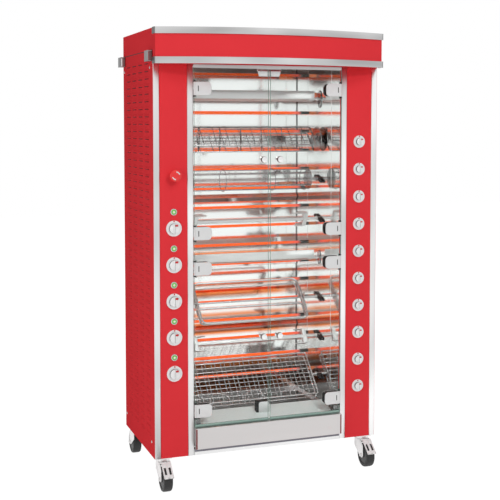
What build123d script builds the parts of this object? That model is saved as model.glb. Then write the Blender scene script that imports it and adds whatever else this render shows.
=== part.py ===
from build123d import *
import math
import os

# A vertical electric infrared rotisserie: eight driven spits before a wall of heating tubes,
# behind two pairs of glass doors, in a narrow cabinet on casters.
# Millimetres. Parts are drawn with x across from the middle, y back from the front plane
# and z up from the underside of the cabinet, then placed over the middle of their own base.

# Cabinet
body_width = 975.0
body_depth = 505.0
body_height = 1715.0
sheet = 1.5
column_width = 165.0
trim_width = 26.0
trim_return = 14.0
roof_skirt = 87.0
seam = 1.0
rail_height = 24.0
rail_width = 30.0
post_size = 22.0
frame_overlap = 12.0

# Canopy
canopy_height = 141.0
canopy_step = 40.0
canopy_bow = 87.0
canopy_trim_height = 26.0
canopy_trim_proud = 5.0
canopy_trim_side = 32.0

# Louvred side panels
louvre_length = 62.0
louvre_pitch_y = 103.0
louvre_pitch_z = 30.0
louvre_height = 13.0
louvre_proud = 5.0
louvre_edge_margin = 40.0
louvre_first_z = 76.0
louvre_top_margin = 42.0

# Side loops
loop_length = 54.0
loop_height = 42.0
loop_reach = 20.0
loop_wall = 2.5
front_loop_y = 28.0
rear_loop_inset = 12.0

# Cavity
cavity_roof_gap = 115.0
cavity_back_gap = 19.0
sill_height = 115.0
sill_depth = 14.0
apron_top = 146.0
apron_depth = 110.0
reflector_fold = 14.0
reflector_fold_height = 34.0
heating_zones = 5

# Heating tubes
tube_count = 17
tube_lowest = 227.0
tube_top_gap = 45.0
tube_radius = 6.0
tube_back_gap = 141.0
tube_end_length = 36.0
tube_end_size = 13.0

# Spits
spit_count = 8
spit_lowest = 230.0
spit_top_gap = 152.0
spit_tube_gap = 123.0
drive_shaft_radius = 6.0
stub_radius = 5.0
clear_gap = 0.3
shaft_in_motor = 20.0
stub_in_bush = 12.0
punch_margin = 1.0
dog_length = 20.0
dog_span = 42.0
dog_thickness = 14.0
dog_wall_gap = 3.0
dog_turn = 30.0
basket_end_gap = 35.5
fork_end_gap = 72.5
blade_end_gap = 26.5
top_blade_disc = 42.0
lower_blade_disc = 34.0
small_basket_half = 56.0
small_basket_depth = 20.0
small_basket_disc = 53.0
drum_radius = 44.0
drum_rods = 10
cage_half = 103.0
large_basket_half = 107.0
large_basket_depth = 14.0
blade_flange = 30.0
blade_drop = 18.0
blade_thickness = 2.0
disc_thickness = 2.5
bar_size = 14.0
wire = 2.0
frame_wire = 3.0
wire_sides = 6

# Spit motors and bearings
motor_box_y = 58.0
motor_box_z = 70.0
motor_box_x = 40.0
motor_radius = 27.0
motor_length = 62.0
bush_size = 26.0

# Doors
door_sill_gap = 3.0
door_split = 829.0
lintel_height = 40.0
split_gap = 6.0
meeting_gap = 8.0
glass = 6.0
glass_front = -5.0
glass_edge_gap = 2.0
pivot_inset = 4.5
hinge_width = 67.0
hinge_height = 53.0
hinge_plate = 3.0
hinge_block = 24.0
hinge_block_inset = 5.5
gasket = 1.0
hinge_corner = 16.0
hinge_edge = 6.0
knuckle_radius = 4.5
pivot_pin_radius = 2.5
ear_height = 6.0
ear_half = 3.5
ear_front = 3.5
ear_back = 5.5
notch_margin = 2.0
top_hinge_drop = 80.0
over_split_hinge = 73.0
under_split_hinge = 69.0
bottom_hinge_rise = 63.0
door_knob_inset = 35.0
door_knob_radius = 13.0
door_knob_neck = 5.0
door_knob_reach = 36.0
door_knob_head = 18.0
door_knob_nut = 9.0
door_knob_nut_height = 3.0
rest_width = 27.0
rest_back = 55.0
rest_top = 147.0
catch_half = 53.0
catch_slope = 9.0
catch_drop = 26.0
stop_plate_y = 57.0
stop_plate_half = 23.0
stop_plate_top = 176.0
stop_block_half = 18.0
stop_block_depth = 22.0

# Drip tray
tray_side_gap = 1.5
tray_bottom = 28.0
tray_sill_gap = 1.0
tray_proud = 22.0
tray_back_gap = 56.0
tray_wall = 1.2
tray_body_inset = 9.0
tray_lip = 10.0
runner_width = 16.0
runner_front = 40.0

# Controls
left_knob_count = 5
left_knob_first = 341.8
left_knob_pitch = 146.0
left_knob_radius = 32.0
lamp_above_knob = 65.5
lamp_radius = 13.5
lamp_lens_radius = 8.5
lamp_proud = 5.0
right_knob_count = 10
right_knob_first = 223.7
right_knob_pitch = 115.75
right_knob_radius = 28.0
knob_skirt = 6.0
knob_core_ratio = 0.62
knob_core_height = 9.0
knob_ridge_height = 20.0
knob_ridge_width = 9.0
knob_shaft_radius = 3.0
skirt_sides = 14
core_sides = 8
knob_seat_gap = 0.4
switch_size = 34.0
switch_depth = 26.0
stop_height = 1137.0
stop_radius = 21.0
stop_reach = 38.0
stop_rim = 6.0
stop_dome = 8.0
stop_sides = 20
stop_shaft_radius = 8.0
stop_collar_radius = 15.0
stop_collar_height = 7.0
stop_travel = 6.0

# Casters
caster_height = 130.0
wheel_radius = 50.0
wheel_width = 38.0
wheel_shoulder = 4.0
wheel_sides = 30
swivel_inset_x = 42.0
swivel_inset_y = 33.0
caster_trail = 40.0
pad_half = 30.0
pad_thickness = 4.0
king_pin_radius = 6.0
king_pin_length = 10.0
crown_radius = 27.0
crown_height = 12.0
crown_sides = 16
fork_plate = 3.0
fork_gap = 1.5
axle_radius = 5.0
axle_nut_radius = 8.0
pedal_half = 20.0
pedal_pin_radius = 3.0
pedal_boss_radius = 4.5
pedal_pin_forward = 26.0
pedal_pin_z = -24.0

# Values worked out from those above
half = body_width / 2
opening_half = half - column_width
panel_top = body_height - roof_skirt - seam
column_middle = half - column_width / 2
canopy_lower_edge = body_height - canopy_height
cavity_top = body_height - cavity_roof_gap
cavity_floor = sill_height - 2 * sheet
cavity_depth = body_depth - cavity_back_gap
rear_loop_y = body_depth - rear_loop_inset
louvre_span_y = body_depth - 2 * louvre_edge_margin - louvre_length
louvre_columns = int(louvre_span_y / louvre_pitch_y) + 1
louvre_rows = int((panel_top - louvre_top_margin - louvre_first_z) / louvre_pitch_z) + 1
tube_y = cavity_depth - tube_back_gap
tube_pitch = (cavity_top - tube_top_gap - tube_lowest) / (tube_count - 1)
spit_y = tube_y - spit_tube_gap
spit_pitch = (cavity_top - spit_top_gap - spit_lowest) / (spit_count - 1)
spit_half = opening_half - basket_end_gap
fork_half = opening_half - fork_end_gap
blade_half = opening_half - blade_end_gap
door_bottom = sill_height + door_sill_gap
door_top = cavity_top - lintel_height
upper_hinges = (door_top - top_hinge_drop, door_split + over_split_hinge)
lower_hinges = (door_split - under_split_hinge, door_bottom + bottom_hinge_rise)
tray_top = sill_height - tray_sill_gap
tray_half_width = opening_half - tray_side_gap
tray_body_half = tray_half_width - tray_body_inset
tray_body_top = tray_top - tray_lip
tray_length = cavity_depth - tray_back_gap
front_reach = canopy_step + canopy_bow + canopy_trim_proud
rear_wheel_y = body_depth - swivel_inset_y + caster_trail
rear_reach = rear_wheel_y + wheel_radius
y_to_origin = (front_reach - rear_reach) / 2
wall_outer = opening_half + sheet
spit_levels = [spit_lowest + spit_pitch * i for i in range(spit_count)]
glass_back = glass_front + glass
apron_slope = (apron_top - sill_height) / (apron_depth - sill_depth)
crown_top = -pad_thickness - clear_gap
crown_low = crown_top - crown_height
axle_z = wheel_radius - caster_height
leg_x = wheel_width / 2 + fork_gap
pivot_x = opening_half - pivot_inset
pivot_y = glass_front + glass / 2


def block(x0, x1, y0, y1, z0, z1):
    """A box given by its limits."""
    middle = Pos((x0 + x1) / 2, (y0 + y1) / 2, (z0 + z1) / 2)
    return middle * Box(abs(x1 - x0), abs(y1 - y0), abs(z1 - z0))


def rod(start, end, radius, sides=8, bore=False):
    """A bar between two points, drawn with flats; a bore is measured across its flats."""
    run = Vector(*end) - Vector(*start)
    section = RegularPolygon(radius, sides, major_radius=not bore)
    return extrude(Plane(origin=start, z_dir=run) * section, amount=run.length)


def across(x0, x1, y, z, radius, sides=8, bore=False):
    """A bar or bore along x."""
    return rod((min(x0, x1), y, z), (max(x0, x1), y, z), radius, sides, bore)


def inward(x, z, y0, y1, radius, sides=8, bore=False):
    """A bar or bore along y."""
    return rod((x, y0, z), (x, y1, z), radius, sides, bore)


def upright(x, y, z0, z1, radius, sides=8, bore=False):
    """A bar or bore along z."""
    return rod((x, y, z0), (x, y, z1), radius, sides, bore)


def both_sides(shapes):
    """The shapes and their mirror images across the middle plane."""
    return shapes + [mirror(shape, about=Plane.YZ) for shape in shapes]


def save(name, shapes):
    """Writes one node, placed over the middle of its base."""
    place = Pos(0, y_to_origin, caster_height)
    solids = [place * solid for shape in shapes for solid in shape.solids()]
    export_step(Compound(children=solids), f"parts/{name}.step")


def canopy_face(grow, back):
    """The canopy's plan: a bowed front edge between straight sides, moved out by grow."""
    radius = (half ** 2 + canopy_bow ** 2) / (2 * canopy_bow)
    centre_y = radius - canopy_step - canopy_bow
    side = half + grow
    corner = centre_y - math.sqrt((radius + grow) ** 2 - side ** 2)
    nose = centre_y - radius - grow
    front = ThreePointArc((-side, corner), (0, nose), (side, corner))
    rest = Polyline((side, corner), (side, back), (-side, back), (-side, corner))
    return make_face(Curve() + front + rest)


def lifted(face, z0, z1):
    """A flat face drawn on the ground, raised to a solid between two heights."""
    return Pos(0, 0, z0) * extrude(face, amount=z1 - z0)


def frame_ring(inner, front, back, width, z0, z1):
    """Four bars in a ring: two along x over the full width and two between them."""
    ends = [block(-inner, inner, front, front + width, z0, z1),
            block(-inner, inner, back - width, back, z0, z1)]
    side = block(inner - width, inner, front + width, back - width, z0, z1)
    return ends + both_sides([side])


def make_base_frame():
    """Base rails with the visible front lip, corner posts, the top ring and the caster pads."""
    inner = half - sheet
    back = body_depth - sheet
    front = 2 * sheet
    shapes = frame_ring(inner, front, back, rail_width, 0, rail_height)
    shapes.append(block(-opening_half, opening_half, 0, front, 0, rail_height))
    top_low = cavity_top + sheet
    shapes += frame_ring(inner, front, back, post_size, top_low,
                         panel_top + seam + frame_overlap)
    posts = []
    for x in (wall_outer, inner - post_size):
        posts.append(block(x, x + post_size, front, front + post_size, rail_height, top_low))
    posts.append(block(inner - post_size, inner, back - post_size, back, rail_height, top_low))
    for x, y in caster_places():
        pad = block(x - pad_half, x + pad_half, y - pad_half, y + pad_half, -pad_thickness, 0)
        shapes.append(pad + upright(x, y, -pad_thickness - king_pin_length, 0, king_pin_radius))
    runner = block(tray_body_half - runner_width, wall_outer, runner_front, cavity_depth,
                   rail_height, tray_bottom - clear_gap)
    return shapes + both_sides(posts + [runner])


def louvred_panel():
    """The left side panel: a folded sheet with rows of louvres that open downwards."""
    plate = block(-half, sheet - half, sheet, body_depth, 0, panel_top)
    first_y = (body_depth - louvre_pitch_y * (louvre_columns - 1) + louvre_length) / 2
    louvres = []
    for row in range(louvre_rows):
        z = louvre_first_z + row * louvre_pitch_z
        wedge = make_face(Polyline((-half, z), (-half - louvre_proud, z),
                                   (-half, z + louvre_height), close=True))
        wedge = extrude(Plane.XZ * wedge, amount=louvre_length)
        for column in range(louvre_columns):
            louvres.append(Pos(0, first_y + column * louvre_pitch_y, 0) * wedge)
    return plate + louvres


def make_back_panel():
    """The plain rear sheet between the side panels, and the gland for the supply."""
    inner = half - sheet
    plate = block(-inner, inner, body_depth - sheet, body_depth, 0, panel_top)
    gland_x = inner - 90
    gland_z = 90
    gland = inward(gland_x, gland_z, body_depth, body_depth + 9, 16, sides=6)
    bore = inward(gland_x, gland_z, body_depth - sheet, body_depth + 9, 8, bore=True)
    return [(plate + gland) - bore]


def make_roof_cap():
    """The roof: a flat top with the canopy's bowed front edge and skirts on three sides."""
    low = panel_top + seam
    top = lifted(canopy_face(0, body_depth), body_height - sheet, body_height)
    side = block(half - sheet, half, -canopy_step, body_depth, low, body_height - sheet)
    rear = block(sheet - half, half - sheet, body_depth - sheet, body_depth,
                 low, body_height - sheet)
    return [top, rear] + both_sides([side])


def make_canopy_fascia():
    """The bowed front of the canopy, its short side returns and its underside."""
    low = canopy_lower_edge + 2
    seam_top = panel_top + seam
    wall = canopy_face(0, 0) - canopy_face(-sheet, 1)
    lower = lifted(wall, low, seam_top)
    upper = lifted(wall, seam_top, body_height - sheet)
    upper &= block(sheet - half, half - sheet, -2 * front_reach, 0, seam_top, body_height - sheet)
    under = lifted(canopy_face(-sheet / 2, 0), low, low + sheet)
    return [lower + upper + under]


def make_canopy_trims():
    """The two bright strips along the canopy's top and bottom edges, turned round its corners."""
    side_end = canopy_trim_side - canopy_step
    strip = canopy_face(canopy_trim_proud, side_end) - canopy_face(0, side_end)
    upper = lifted(strip, body_height - canopy_trim_height, body_height)
    lower = lifted(strip, canopy_lower_edge, canopy_lower_edge + canopy_trim_height)
    return [upper, lower]


def make_column_trims():
    """Four folded upright strips beside the red panels and the lintel over the doors."""
    outer = block(half - trim_width, half, 0, sheet, 0, panel_top)
    outer += block(half - trim_width, half - trim_width + sheet, 0, 2 * sheet, 0, panel_top)
    inner = block(opening_half, opening_half + trim_width, 0, sheet, 0, panel_top)
    inner += block(opening_half, wall_outer, 0, trim_return, rail_height, cavity_top)
    inner += block(opening_half + trim_width - sheet, opening_half + trim_width,
                   0, 2 * sheet, 0, panel_top)
    lintel = block(-opening_half, opening_half, 0, sheet, door_top + 2, cavity_top + sheet)
    return both_sides([outer, inner]) + [lintel]


def knob_places():
    """Name, x, z and skirt radius of every control knob."""
    places = []
    for i in range(left_knob_count):
        z = left_knob_first + i * left_knob_pitch
        places.append((f"zone_knob_{i + 1}", -column_middle, z, left_knob_radius))
    for i in range(right_knob_count):
        z = right_knob_first + i * right_knob_pitch
        places.append((f"motor_knob_{i + 1}", column_middle, z, right_knob_radius))
    return places


def make_control_panels():
    """The two red panels, pierced for knobs and the stop, and the switches behind them."""
    x0 = opening_half + trim_width
    x1 = half - trim_width
    right = block(x0, x1, sheet, 2 * sheet, 0, panel_top)
    left = mirror(right, about=Plane.YZ)
    switches = []
    reach = knob_shaft_radius + punch_margin
    for name, x, z, radius in knob_places():
        punch = block(x - reach, x + reach, 0, 3 * sheet, z - reach, z + reach)
        switches.append(block(x - switch_size / 2, x + switch_size / 2,
                              2 * sheet, 2 * sheet + switch_depth,
                              z - switch_size / 2, z + switch_size / 2))
        if x < 0:
            left -= punch
        else:
            right -= punch
    left -= inward(-column_middle, stop_height, 0, 3 * sheet,
                   stop_shaft_radius + clear_gap, bore=True)
    return [left, right] + switches


def make_knob(x, z, radius):
    """A control knob: a flat skirt, a raised round core and a finger ridge on a shaft."""
    back = sheet - knob_seat_gap
    front = back - knob_skirt
    reach = radius * knob_core_ratio
    skirt = inward(x, z, front, back, radius, sides=skirt_sides)
    core = inward(x, z, front - knob_core_height, front, reach, sides=core_sides)
    ridge = block(x - knob_ridge_width / 2, x + knob_ridge_width / 2,
                  front - knob_ridge_height, front, z - reach, z + reach)
    shaft = inward(x, z, back, 2 * sheet - clear_gap, knob_shaft_radius, sides=wire_sides)
    return [skirt + core + ridge + shaft]


def make_stop_button():
    """The red mushroom head on its plunger."""
    x = -column_middle
    back = stop_rim + stop_dome - stop_reach
    head = inward(x, stop_height, -stop_reach, back, stop_radius, sides=stop_sides)
    head = chamfer(head.faces().sort_by(Axis.Y)[0].edges(), stop_dome)
    return [head + inward(x, stop_height, back, switch_depth - stop_travel, stop_shaft_radius)]


def make_lamps():
    """The pilot lamps above the zone knobs and the fixed collar of the stop button."""
    shapes = []
    for i in range(left_knob_count):
        z = left_knob_first + i * left_knob_pitch + lamp_above_knob
        bezel = inward(-column_middle, z, -lamp_proud / 2, sheet, lamp_radius, sides=skirt_sides)
        shapes.append(bezel + inward(-column_middle, z, -lamp_proud, 0, lamp_lens_radius))
    collar = inward(-column_middle, stop_height, -stop_collar_height, sheet, stop_collar_radius,
                    sides=skirt_sides)
    collar -= inward(-column_middle, stop_height, -stop_collar_height, sheet,
                     stop_shaft_radius + clear_gap, bore=True)
    return shapes + [collar]


def make_side_loops():
    """Flat strap loops on both sides, just under the roof seam and open front to back."""
    loops = []
    for y in (front_loop_y, rear_loop_y):
        y0 = y - loop_length / 2
        y1 = y + loop_length / 2
        loop = block(half, half + loop_reach, y0, y1, panel_top - loop_height, panel_top)
        loop -= block(half + loop_wall, half + loop_reach - loop_wall, y0, y1,
                      panel_top - loop_height + loop_wall, panel_top - loop_wall)
        loops.append(loop)
    return both_sides(loops)


def make_cavity_liner():
    """Polished walls and roof, the sloped apron and the creased reflector behind the tubes."""
    wall = block(opening_half, wall_outer, trim_return, cavity_depth, cavity_floor, cavity_top)
    left_wall = mirror(wall, about=Plane.YZ)
    for z in spit_levels:
        reach = drive_shaft_radius + punch_margin
        wall -= block(opening_half, wall_outer, spit_y - reach, spit_y + reach,
                      z - reach, z + reach)
        reach = stub_radius + punch_margin
        left_wall -= block(-wall_outer, -opening_half, spit_y - reach, spit_y + reach,
                           z - reach, z + reach)
    roof = block(-wall_outer, wall_outer, sheet, cavity_depth, cavity_top, cavity_top + sheet)
    sill = block(-opening_half, opening_half, sheet, sill_depth, sill_height - sheet, sill_height)
    slope = along_x(Polyline((sill_depth, sill_height), (apron_depth, apron_top),
                             (apron_depth, apron_top - sheet),
                             (sill_depth, sill_height - sheet), close=True), opening_half)
    flange = along_x(Polyline((apron_depth, cavity_floor), (apron_depth, apron_top - sheet),
                              (apron_depth - sheet, apron_top - sheet * (1 + apron_slope)),
                              (apron_depth - sheet, cavity_floor), close=True), opening_half)
    zone = (cavity_top - cavity_floor) / heating_zones
    face = cavity_depth - sheet
    points = [(face, cavity_floor)]
    for i in range(1, heating_zones):
        z = cavity_floor + zone * i
        points.append((face, z - reflector_fold_height / 2))
        points.append((face - reflector_fold, z))
        points.append((face, z + reflector_fold_height / 2))
    points.append((face, cavity_top))
    reflector = []
    for (y0, z0), (y1, z1) in zip(points, points[1:]):
        reflector.append(along_x(Polyline((y0, z0), (y1, z1), (y1 + sheet, z1), (y0 + sheet, z0),
                                          close=True), opening_half))
    return [wall, left_wall, roof, sill, slope, flange] + reflector


def along_x(outline, reach):
    """A section drawn as (y, z) pairs, extruded evenly to both sides of the middle plane."""
    section = Plane.YZ * make_face(outline)
    return Pos(-reach, 0, 0) * extrude(section, amount=2 * reach)


def make_heating_tubes():
    """Quartz tubes across the cavity, each held in two square ceramic ends."""
    shapes = []
    inner = opening_half - tube_end_length
    reach = tube_end_size / 2
    for i in range(tube_count):
        z = tube_lowest + i * tube_pitch
        shapes.append(across(-inner, inner, tube_y, z, tube_radius, sides=8))
        ceramic = block(inner, opening_half, tube_y - reach, tube_y + reach, z - reach, z + reach)
        shapes += both_sides([ceramic])
    return shapes


def make_spit_motors():
    """A gearmotor for each spit, on the outside of the right cavity wall."""
    shapes = []
    motor_start = wall_outer + motor_box_x
    for z in spit_levels:
        gearbox = block(wall_outer, motor_start, spit_y - motor_box_y / 2,
                        spit_y + motor_box_y / 2, z - motor_box_z / 2, z + motor_box_z / 2)
        gearbox -= across(wall_outer, wall_outer + shaft_in_motor + 1, spit_y, z,
                          drive_shaft_radius + clear_gap, bore=True)
        shapes.append(gearbox)
        shapes.append(across(motor_start, motor_start + motor_length, spit_y, z, motor_radius))
    return shapes


def make_spit_bearings():
    """A bearing block for each spit's free end, on the outside of the left cavity wall."""
    shapes = []
    reach = bush_size / 2
    for z in spit_levels:
        bush = block(-wall_outer - stub_in_bush, -wall_outer, spit_y - reach, spit_y + reach,
                     z - reach, z + reach)
        bush -= across(-wall_outer - stub_in_bush, -wall_outer, spit_y, z,
                       stub_radius + clear_gap, bore=True)
        shapes.append(bush)
    return shapes


def drive_end(z, start):
    """The black driving dog and the shaft that runs from the spit into its motor."""
    dog_outer = opening_half - dog_wall_gap
    shaft = across(start, wall_outer + shaft_in_motor, spit_y, z, drive_shaft_radius)
    dog = Rot(dog_turn, 0, 0) * Box(dog_length, dog_span, dog_thickness)
    return shaft + Pos(dog_outer - dog_length / 2, spit_y, z) * dog


def free_end(z, start):
    """The stub that carries the spit in the left bush."""
    return across(-wall_outer - stub_in_bush + 1, start, spit_y, z, stub_radius)


def spin(y, z, level, degrees):
    """A point given beside the spit's axis as (y, z), turned about it and put at its level."""
    a = math.radians(degrees)
    return (spit_y + y * math.cos(a) - z * math.sin(a), level + y * math.sin(a) + z * math.cos(a))


def make_blade_spit(level, disc_radius):
    """A folded angle blade on edge, with a round end disc."""
    drop = blade_drop
    section = Polyline((0, 0), (blade_flange, -drop), (blade_flange, blade_thickness - drop),
                       (0, blade_thickness * 1.2), (-blade_flange, blade_thickness - drop),
                       (-blade_flange, -drop), close=True)
    blade = Pos(0, spit_y, level) * Rot(90, 0, 0) * along_x(section, blade_half)
    disc = across(blade_half, blade_half + disc_thickness, spit_y, level, disc_radius, sides=24)
    cap = across(-blade_half - disc_thickness, -blade_half, spit_y, level, blade_flange)
    return [blade + disc + cap + drive_end(level, blade_half) + free_end(level, -blade_half)]


def make_fork_spit(level, turn):
    """A square bar with a pair of two-pronged plates clamped near its ends."""
    reach = bar_size / 2
    bar_half = fork_half + 12
    pieces = [block(-bar_half, bar_half, -reach, reach, -reach, reach)]
    for side in (-1, 1):
        x = side * fork_half
        pieces.append(block(x - 9, x + 9, -11, 11, -24, 24))
        for z in (-24, 24):
            pieces.append(block(x - side * 46, x, -9, 9, z - 1.5, z + 1.5))
    fork = Pos(0, spit_y, level) * Rot(turn, 0, 0) * (pieces[0] + pieces[1:])
    return [fork + drive_end(level, bar_half) + free_end(level, -bar_half)]


def grid_basket(level, half_width, half_depth, turn, runs, crosses, disc_radius):
    """A shut wire basket: two grids of long and cross wires on a pair of rod frames."""
    def bar(start, end, radius):
        a = spin(start[1], start[2], level, turn)
        b = spin(end[1], end[2], level, turn)
        return rod((start[0], *a), (end[0], *b), radius, sides=wire_sides)

    shapes = []
    x = spit_half - frame_wire
    w = half_width - frame_wire
    for side in (-1, 1):
        z = side * half_depth
        for edge in (-w, w):
            shapes.append(bar((-spit_half, edge, z), (spit_half, edge, z), frame_wire))
        for end in (-x, x):
            shapes.append(bar((end, frame_wire - w, z), (end, w - frame_wire, z), frame_wire))
        run_z = z + side * (frame_wire + wire)
        cross_z = run_z + side * 2 * wire
        for i in range(runs):
            y = w * ((2 * i + 2) / (runs + 1) - 1)
            shapes.append(bar((-spit_half, y, run_z), (spit_half, y, run_z), wire))
        for i in range(crosses):
            along = x * ((2 * i + 2) / (crosses + 1) - 1)
            shapes.append(bar((along, -w, cross_z), (along, w, cross_z), wire))
    depth = half_depth - frame_wire
    for end in (-spit_half, spit_half - disc_thickness):
        plate = block(end, end + disc_thickness, -16, 16, -depth, depth)
        shapes.append(Pos(0, spit_y, level) * Rot(turn, 0, 0) * plate)
    ends = drive_end(level, spit_half)
    if disc_radius:
        disc_x = opening_half - dog_wall_gap - dog_length - disc_thickness
        ends += across(disc_x, disc_x + disc_thickness, spit_y, level, disc_radius, sides=24)
    return shapes + [ends, free_end(level, -spit_half)]


def make_drum_spit(level, radius, rods):
    """Long rods in a drum, held by three hoops and two end plates."""
    shapes = []
    length = spit_half - 22
    for i in range(rods):
        y, z = spin(radius, 0, level, 360 * i / rods)
        shapes.append(rod((-length, y, z), (length, y, z), wire, sides=wire_sides))
    inner = radius + wire + clear_gap / 2
    ring = RegularPolygon(inner + frame_wire, rods) - RegularPolygon(inner, rods)
    hoop = extrude(Plane.YZ * ring, amount=4)
    for x in (-length * 0.7, -2, length * 0.7):
        shapes.append(Pos(x, spit_y, level) * hoop)
    plate = extrude(Plane.YZ * RegularPolygon(radius + wire, rods), amount=disc_thickness)
    shapes.append(Pos(length, spit_y, level) * plate)
    shapes.append(Pos(-length - disc_thickness, spit_y, level) * plate)
    reach = length + disc_thickness
    return shapes + [drive_end(level, reach), free_end(level, -reach)]


def upturned(turn):
    """The (y, z) direction at right angles to a loop's plane that is turned about the axis."""
    a = math.radians(turn)
    return -math.cos(a), -math.sin(a)


def wire_loop(x, low, high, offset, level, turn, radius, corner):
    """A flat rectangular wire loop with bent corners, from low to high across the axis."""
    outline = Pos(0, (low + high) / 2) * Rectangle(2 * x, high - low)
    outline = chamfer(outline.vertices(), corner)
    middle = Plane(origin=(0, *spin(offset, 0, level, turn)), x_dir=(1, 0, 0),
                   z_dir=(0, *upturned(turn)))
    path = (middle * outline).wire()
    section = Plane(origin=path @ 0, z_dir=path % 0) * RegularPolygon(radius, wire_sides)
    return sweep(section, path=path, transition=Transition.RIGHT)


def make_cage_spit(level, turn):
    """Three flat wire loops round the axis, held by crossed end plates."""
    x = spit_half - 47
    shapes = [wire_loop(x, -cage_half, cage_half, 0, level, turn, frame_wire, 22)]
    for low in (10 - cage_half, cage_half - 89):
        shapes.append(wire_loop(x, low, low + 79, 22, level, turn, frame_wire, 14))
    for side in (-1, 1):
        x0 = side * (x + frame_wire)
        x1 = x0 + side * 3
        plate = block(x0, x1, -26, 26, -9, 9) + block(x0, x1, -8, 8, -60, 60)
        plate += block(x0, x1, 18, 26, -45, 45)
        shapes.append(Pos(0, spit_y, level) * Rot(turn, 0, 0) * plate)
    reach = x + frame_wire + 3
    return shapes + [drive_end(level, reach), free_end(level, -reach)]


def hinge_places(upper):
    return upper_hinges if upper else lower_hinges


def door_limits(upper):
    low = door_split + split_gap / 2 if upper else door_bottom
    high = door_top if upper else door_split - split_gap / 2
    return low, high


def make_door_glass(upper):
    """The left-hand pane, notched for its hinges and drilled for its knob."""
    low, high = door_limits(upper)
    outer = glass_edge_gap - opening_half
    pane = block(outer, -meeting_gap / 2, glass_front, glass_back, low, high)
    reach = hinge_height / 2 + clear_gap + ear_height + notch_margin
    for z in hinge_places(upper):
        pane -= block(outer, hinge_edge + 4 - opening_half, glass_front, glass_back,
                      z - reach, z + reach)
    pane -= inward(-door_knob_inset, (low + high) / 2, glass_front, glass_back,
                   door_knob_neck + clear_gap, sides=8, bore=True)
    return pane


def make_door_fittings(upper):
    """The two clamp hinges of the left-hand pane, with gaskets, and its round knob."""
    low, high = door_limits(upper)
    shapes = []
    x0 = hinge_edge - opening_half
    x1 = x0 + hinge_width
    front = glass_front - gasket
    back = glass_back + gasket
    for z in hinge_places(upper):
        z0 = z - hinge_height / 2
        z1 = z + hinge_height / 2
        pad = block(x0 + 4, x1 - 4, front, glass_front, z0 + 3, z1 - 3)
        shapes.append(pad)
        shapes.append(Pos(0, glass + gasket, 0) * pad)
        front_plate = block(x0, x1, front - hinge_plate, front, z0, z1)
        corners = front_plate.edges().filter_by(Axis.Y).sort_by(Axis.X)[-2:]
        front_plate = fillet(corners, hinge_corner)
        back_plate = block(x0, x1, back, back + hinge_plate, z0, z1)
        back_plate += block(x0 + hinge_block_inset, x1, back + hinge_plate, back + hinge_block,
                            z0, z1)
        corners = back_plate.edges().filter_by(Axis.Y).sort_by(Axis.X)[-2:]
        back_plate = chamfer(corners, hinge_corner / 2)
        knuckle = upright(-pivot_x, pivot_y, z0, z1, knuckle_radius, sides=8)
        web = block(x0, x0 + 4, front, back, z0, z1)
        hinge = front_plate + back_plate + knuckle + web
        hinge -= upright(-pivot_x, pivot_y, z0, z1, pivot_pin_radius + clear_gap, bore=True)
        shapes.append(hinge)
    middle = (low + high) / 2
    head_front = glass_front - door_knob_reach
    head_back = head_front + door_knob_head
    head = inward(-door_knob_inset, middle, head_front, head_back, door_knob_radius, sides=16)
    neck = inward(-door_knob_inset, middle, head_back, glass_back, door_knob_neck, sides=8)
    nut = inward(-door_knob_inset, middle, glass_back, glass_back + door_knob_nut_height,
                 door_knob_nut, sides=6)
    shapes.append(head + neck + nut)
    return shapes


def on_apron(y0, y1, top, width):
    """A block that stands on the sill and apron between two depths, from x = 0 to its width."""
    def floor(y):
        return sill_height + max(0, y - sill_depth) * apron_slope

    depths = [y0, sill_depth, y1] if y0 < sill_depth else [y0, y1]
    outline = [(y, floor(y)) for y in depths] + [(y1, top), (y0, top)]
    return extrude(Plane.YZ * make_face(Polyline(*outline, close=True)), amount=width)


def make_door_frame_fittings():
    """Hinge ears and pins on the jambs, door catches, corner rests and the middle stop."""
    ears = []
    for upper in (True, False):
        for z in hinge_places(upper):
            reach = hinge_height / 2 + clear_gap
            ear = upright(-pivot_x, pivot_y, z - reach, z + reach, pivot_pin_radius)
            for z0 in (z - reach - ear_height, z + reach):
                ear += block(-opening_half, ear_half - pivot_x, pivot_y - ear_front,
                             pivot_y + ear_back, z0, z0 + ear_height)
            ears.append(ear)
    rest = on_apron(glass_back + 3, rest_back, rest_top, rest_width)
    rests = both_sides([Pos(opening_half - rest_width, 0, 0) * rest])
    catch = make_face(Polyline((-catch_half, 0), (catch_half, 0),
                               (catch_half - catch_slope, -catch_drop),
                               (catch_slope - catch_half, -catch_drop), close=True))
    catch = extrude(Plane.XZ * catch, amount=3)
    catch = Pos(0, sheet + 3, door_top - 2) * catch
    catch += block(-catch_half, catch_half, sheet, sheet + 3, door_top - 2, door_top + 12)
    plate_back = stop_plate_y + 3
    stop = on_apron(plate_back, plate_back + stop_block_depth, stop_plate_top - 4,
                    2 * stop_block_half)
    face = block(-stop_plate_half, stop_plate_half, stop_plate_y, plate_back,
                 sill_height + (plate_back - sill_depth) * apron_slope, stop_plate_top)
    face = chamfer(face.edges().filter_by(Axis.Y).sort_by(Axis.Z)[-2:], 9)
    return both_sides(ears) + rests + [catch, Pos(-stop_block_half, 0, 0) * stop, face]


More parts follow.
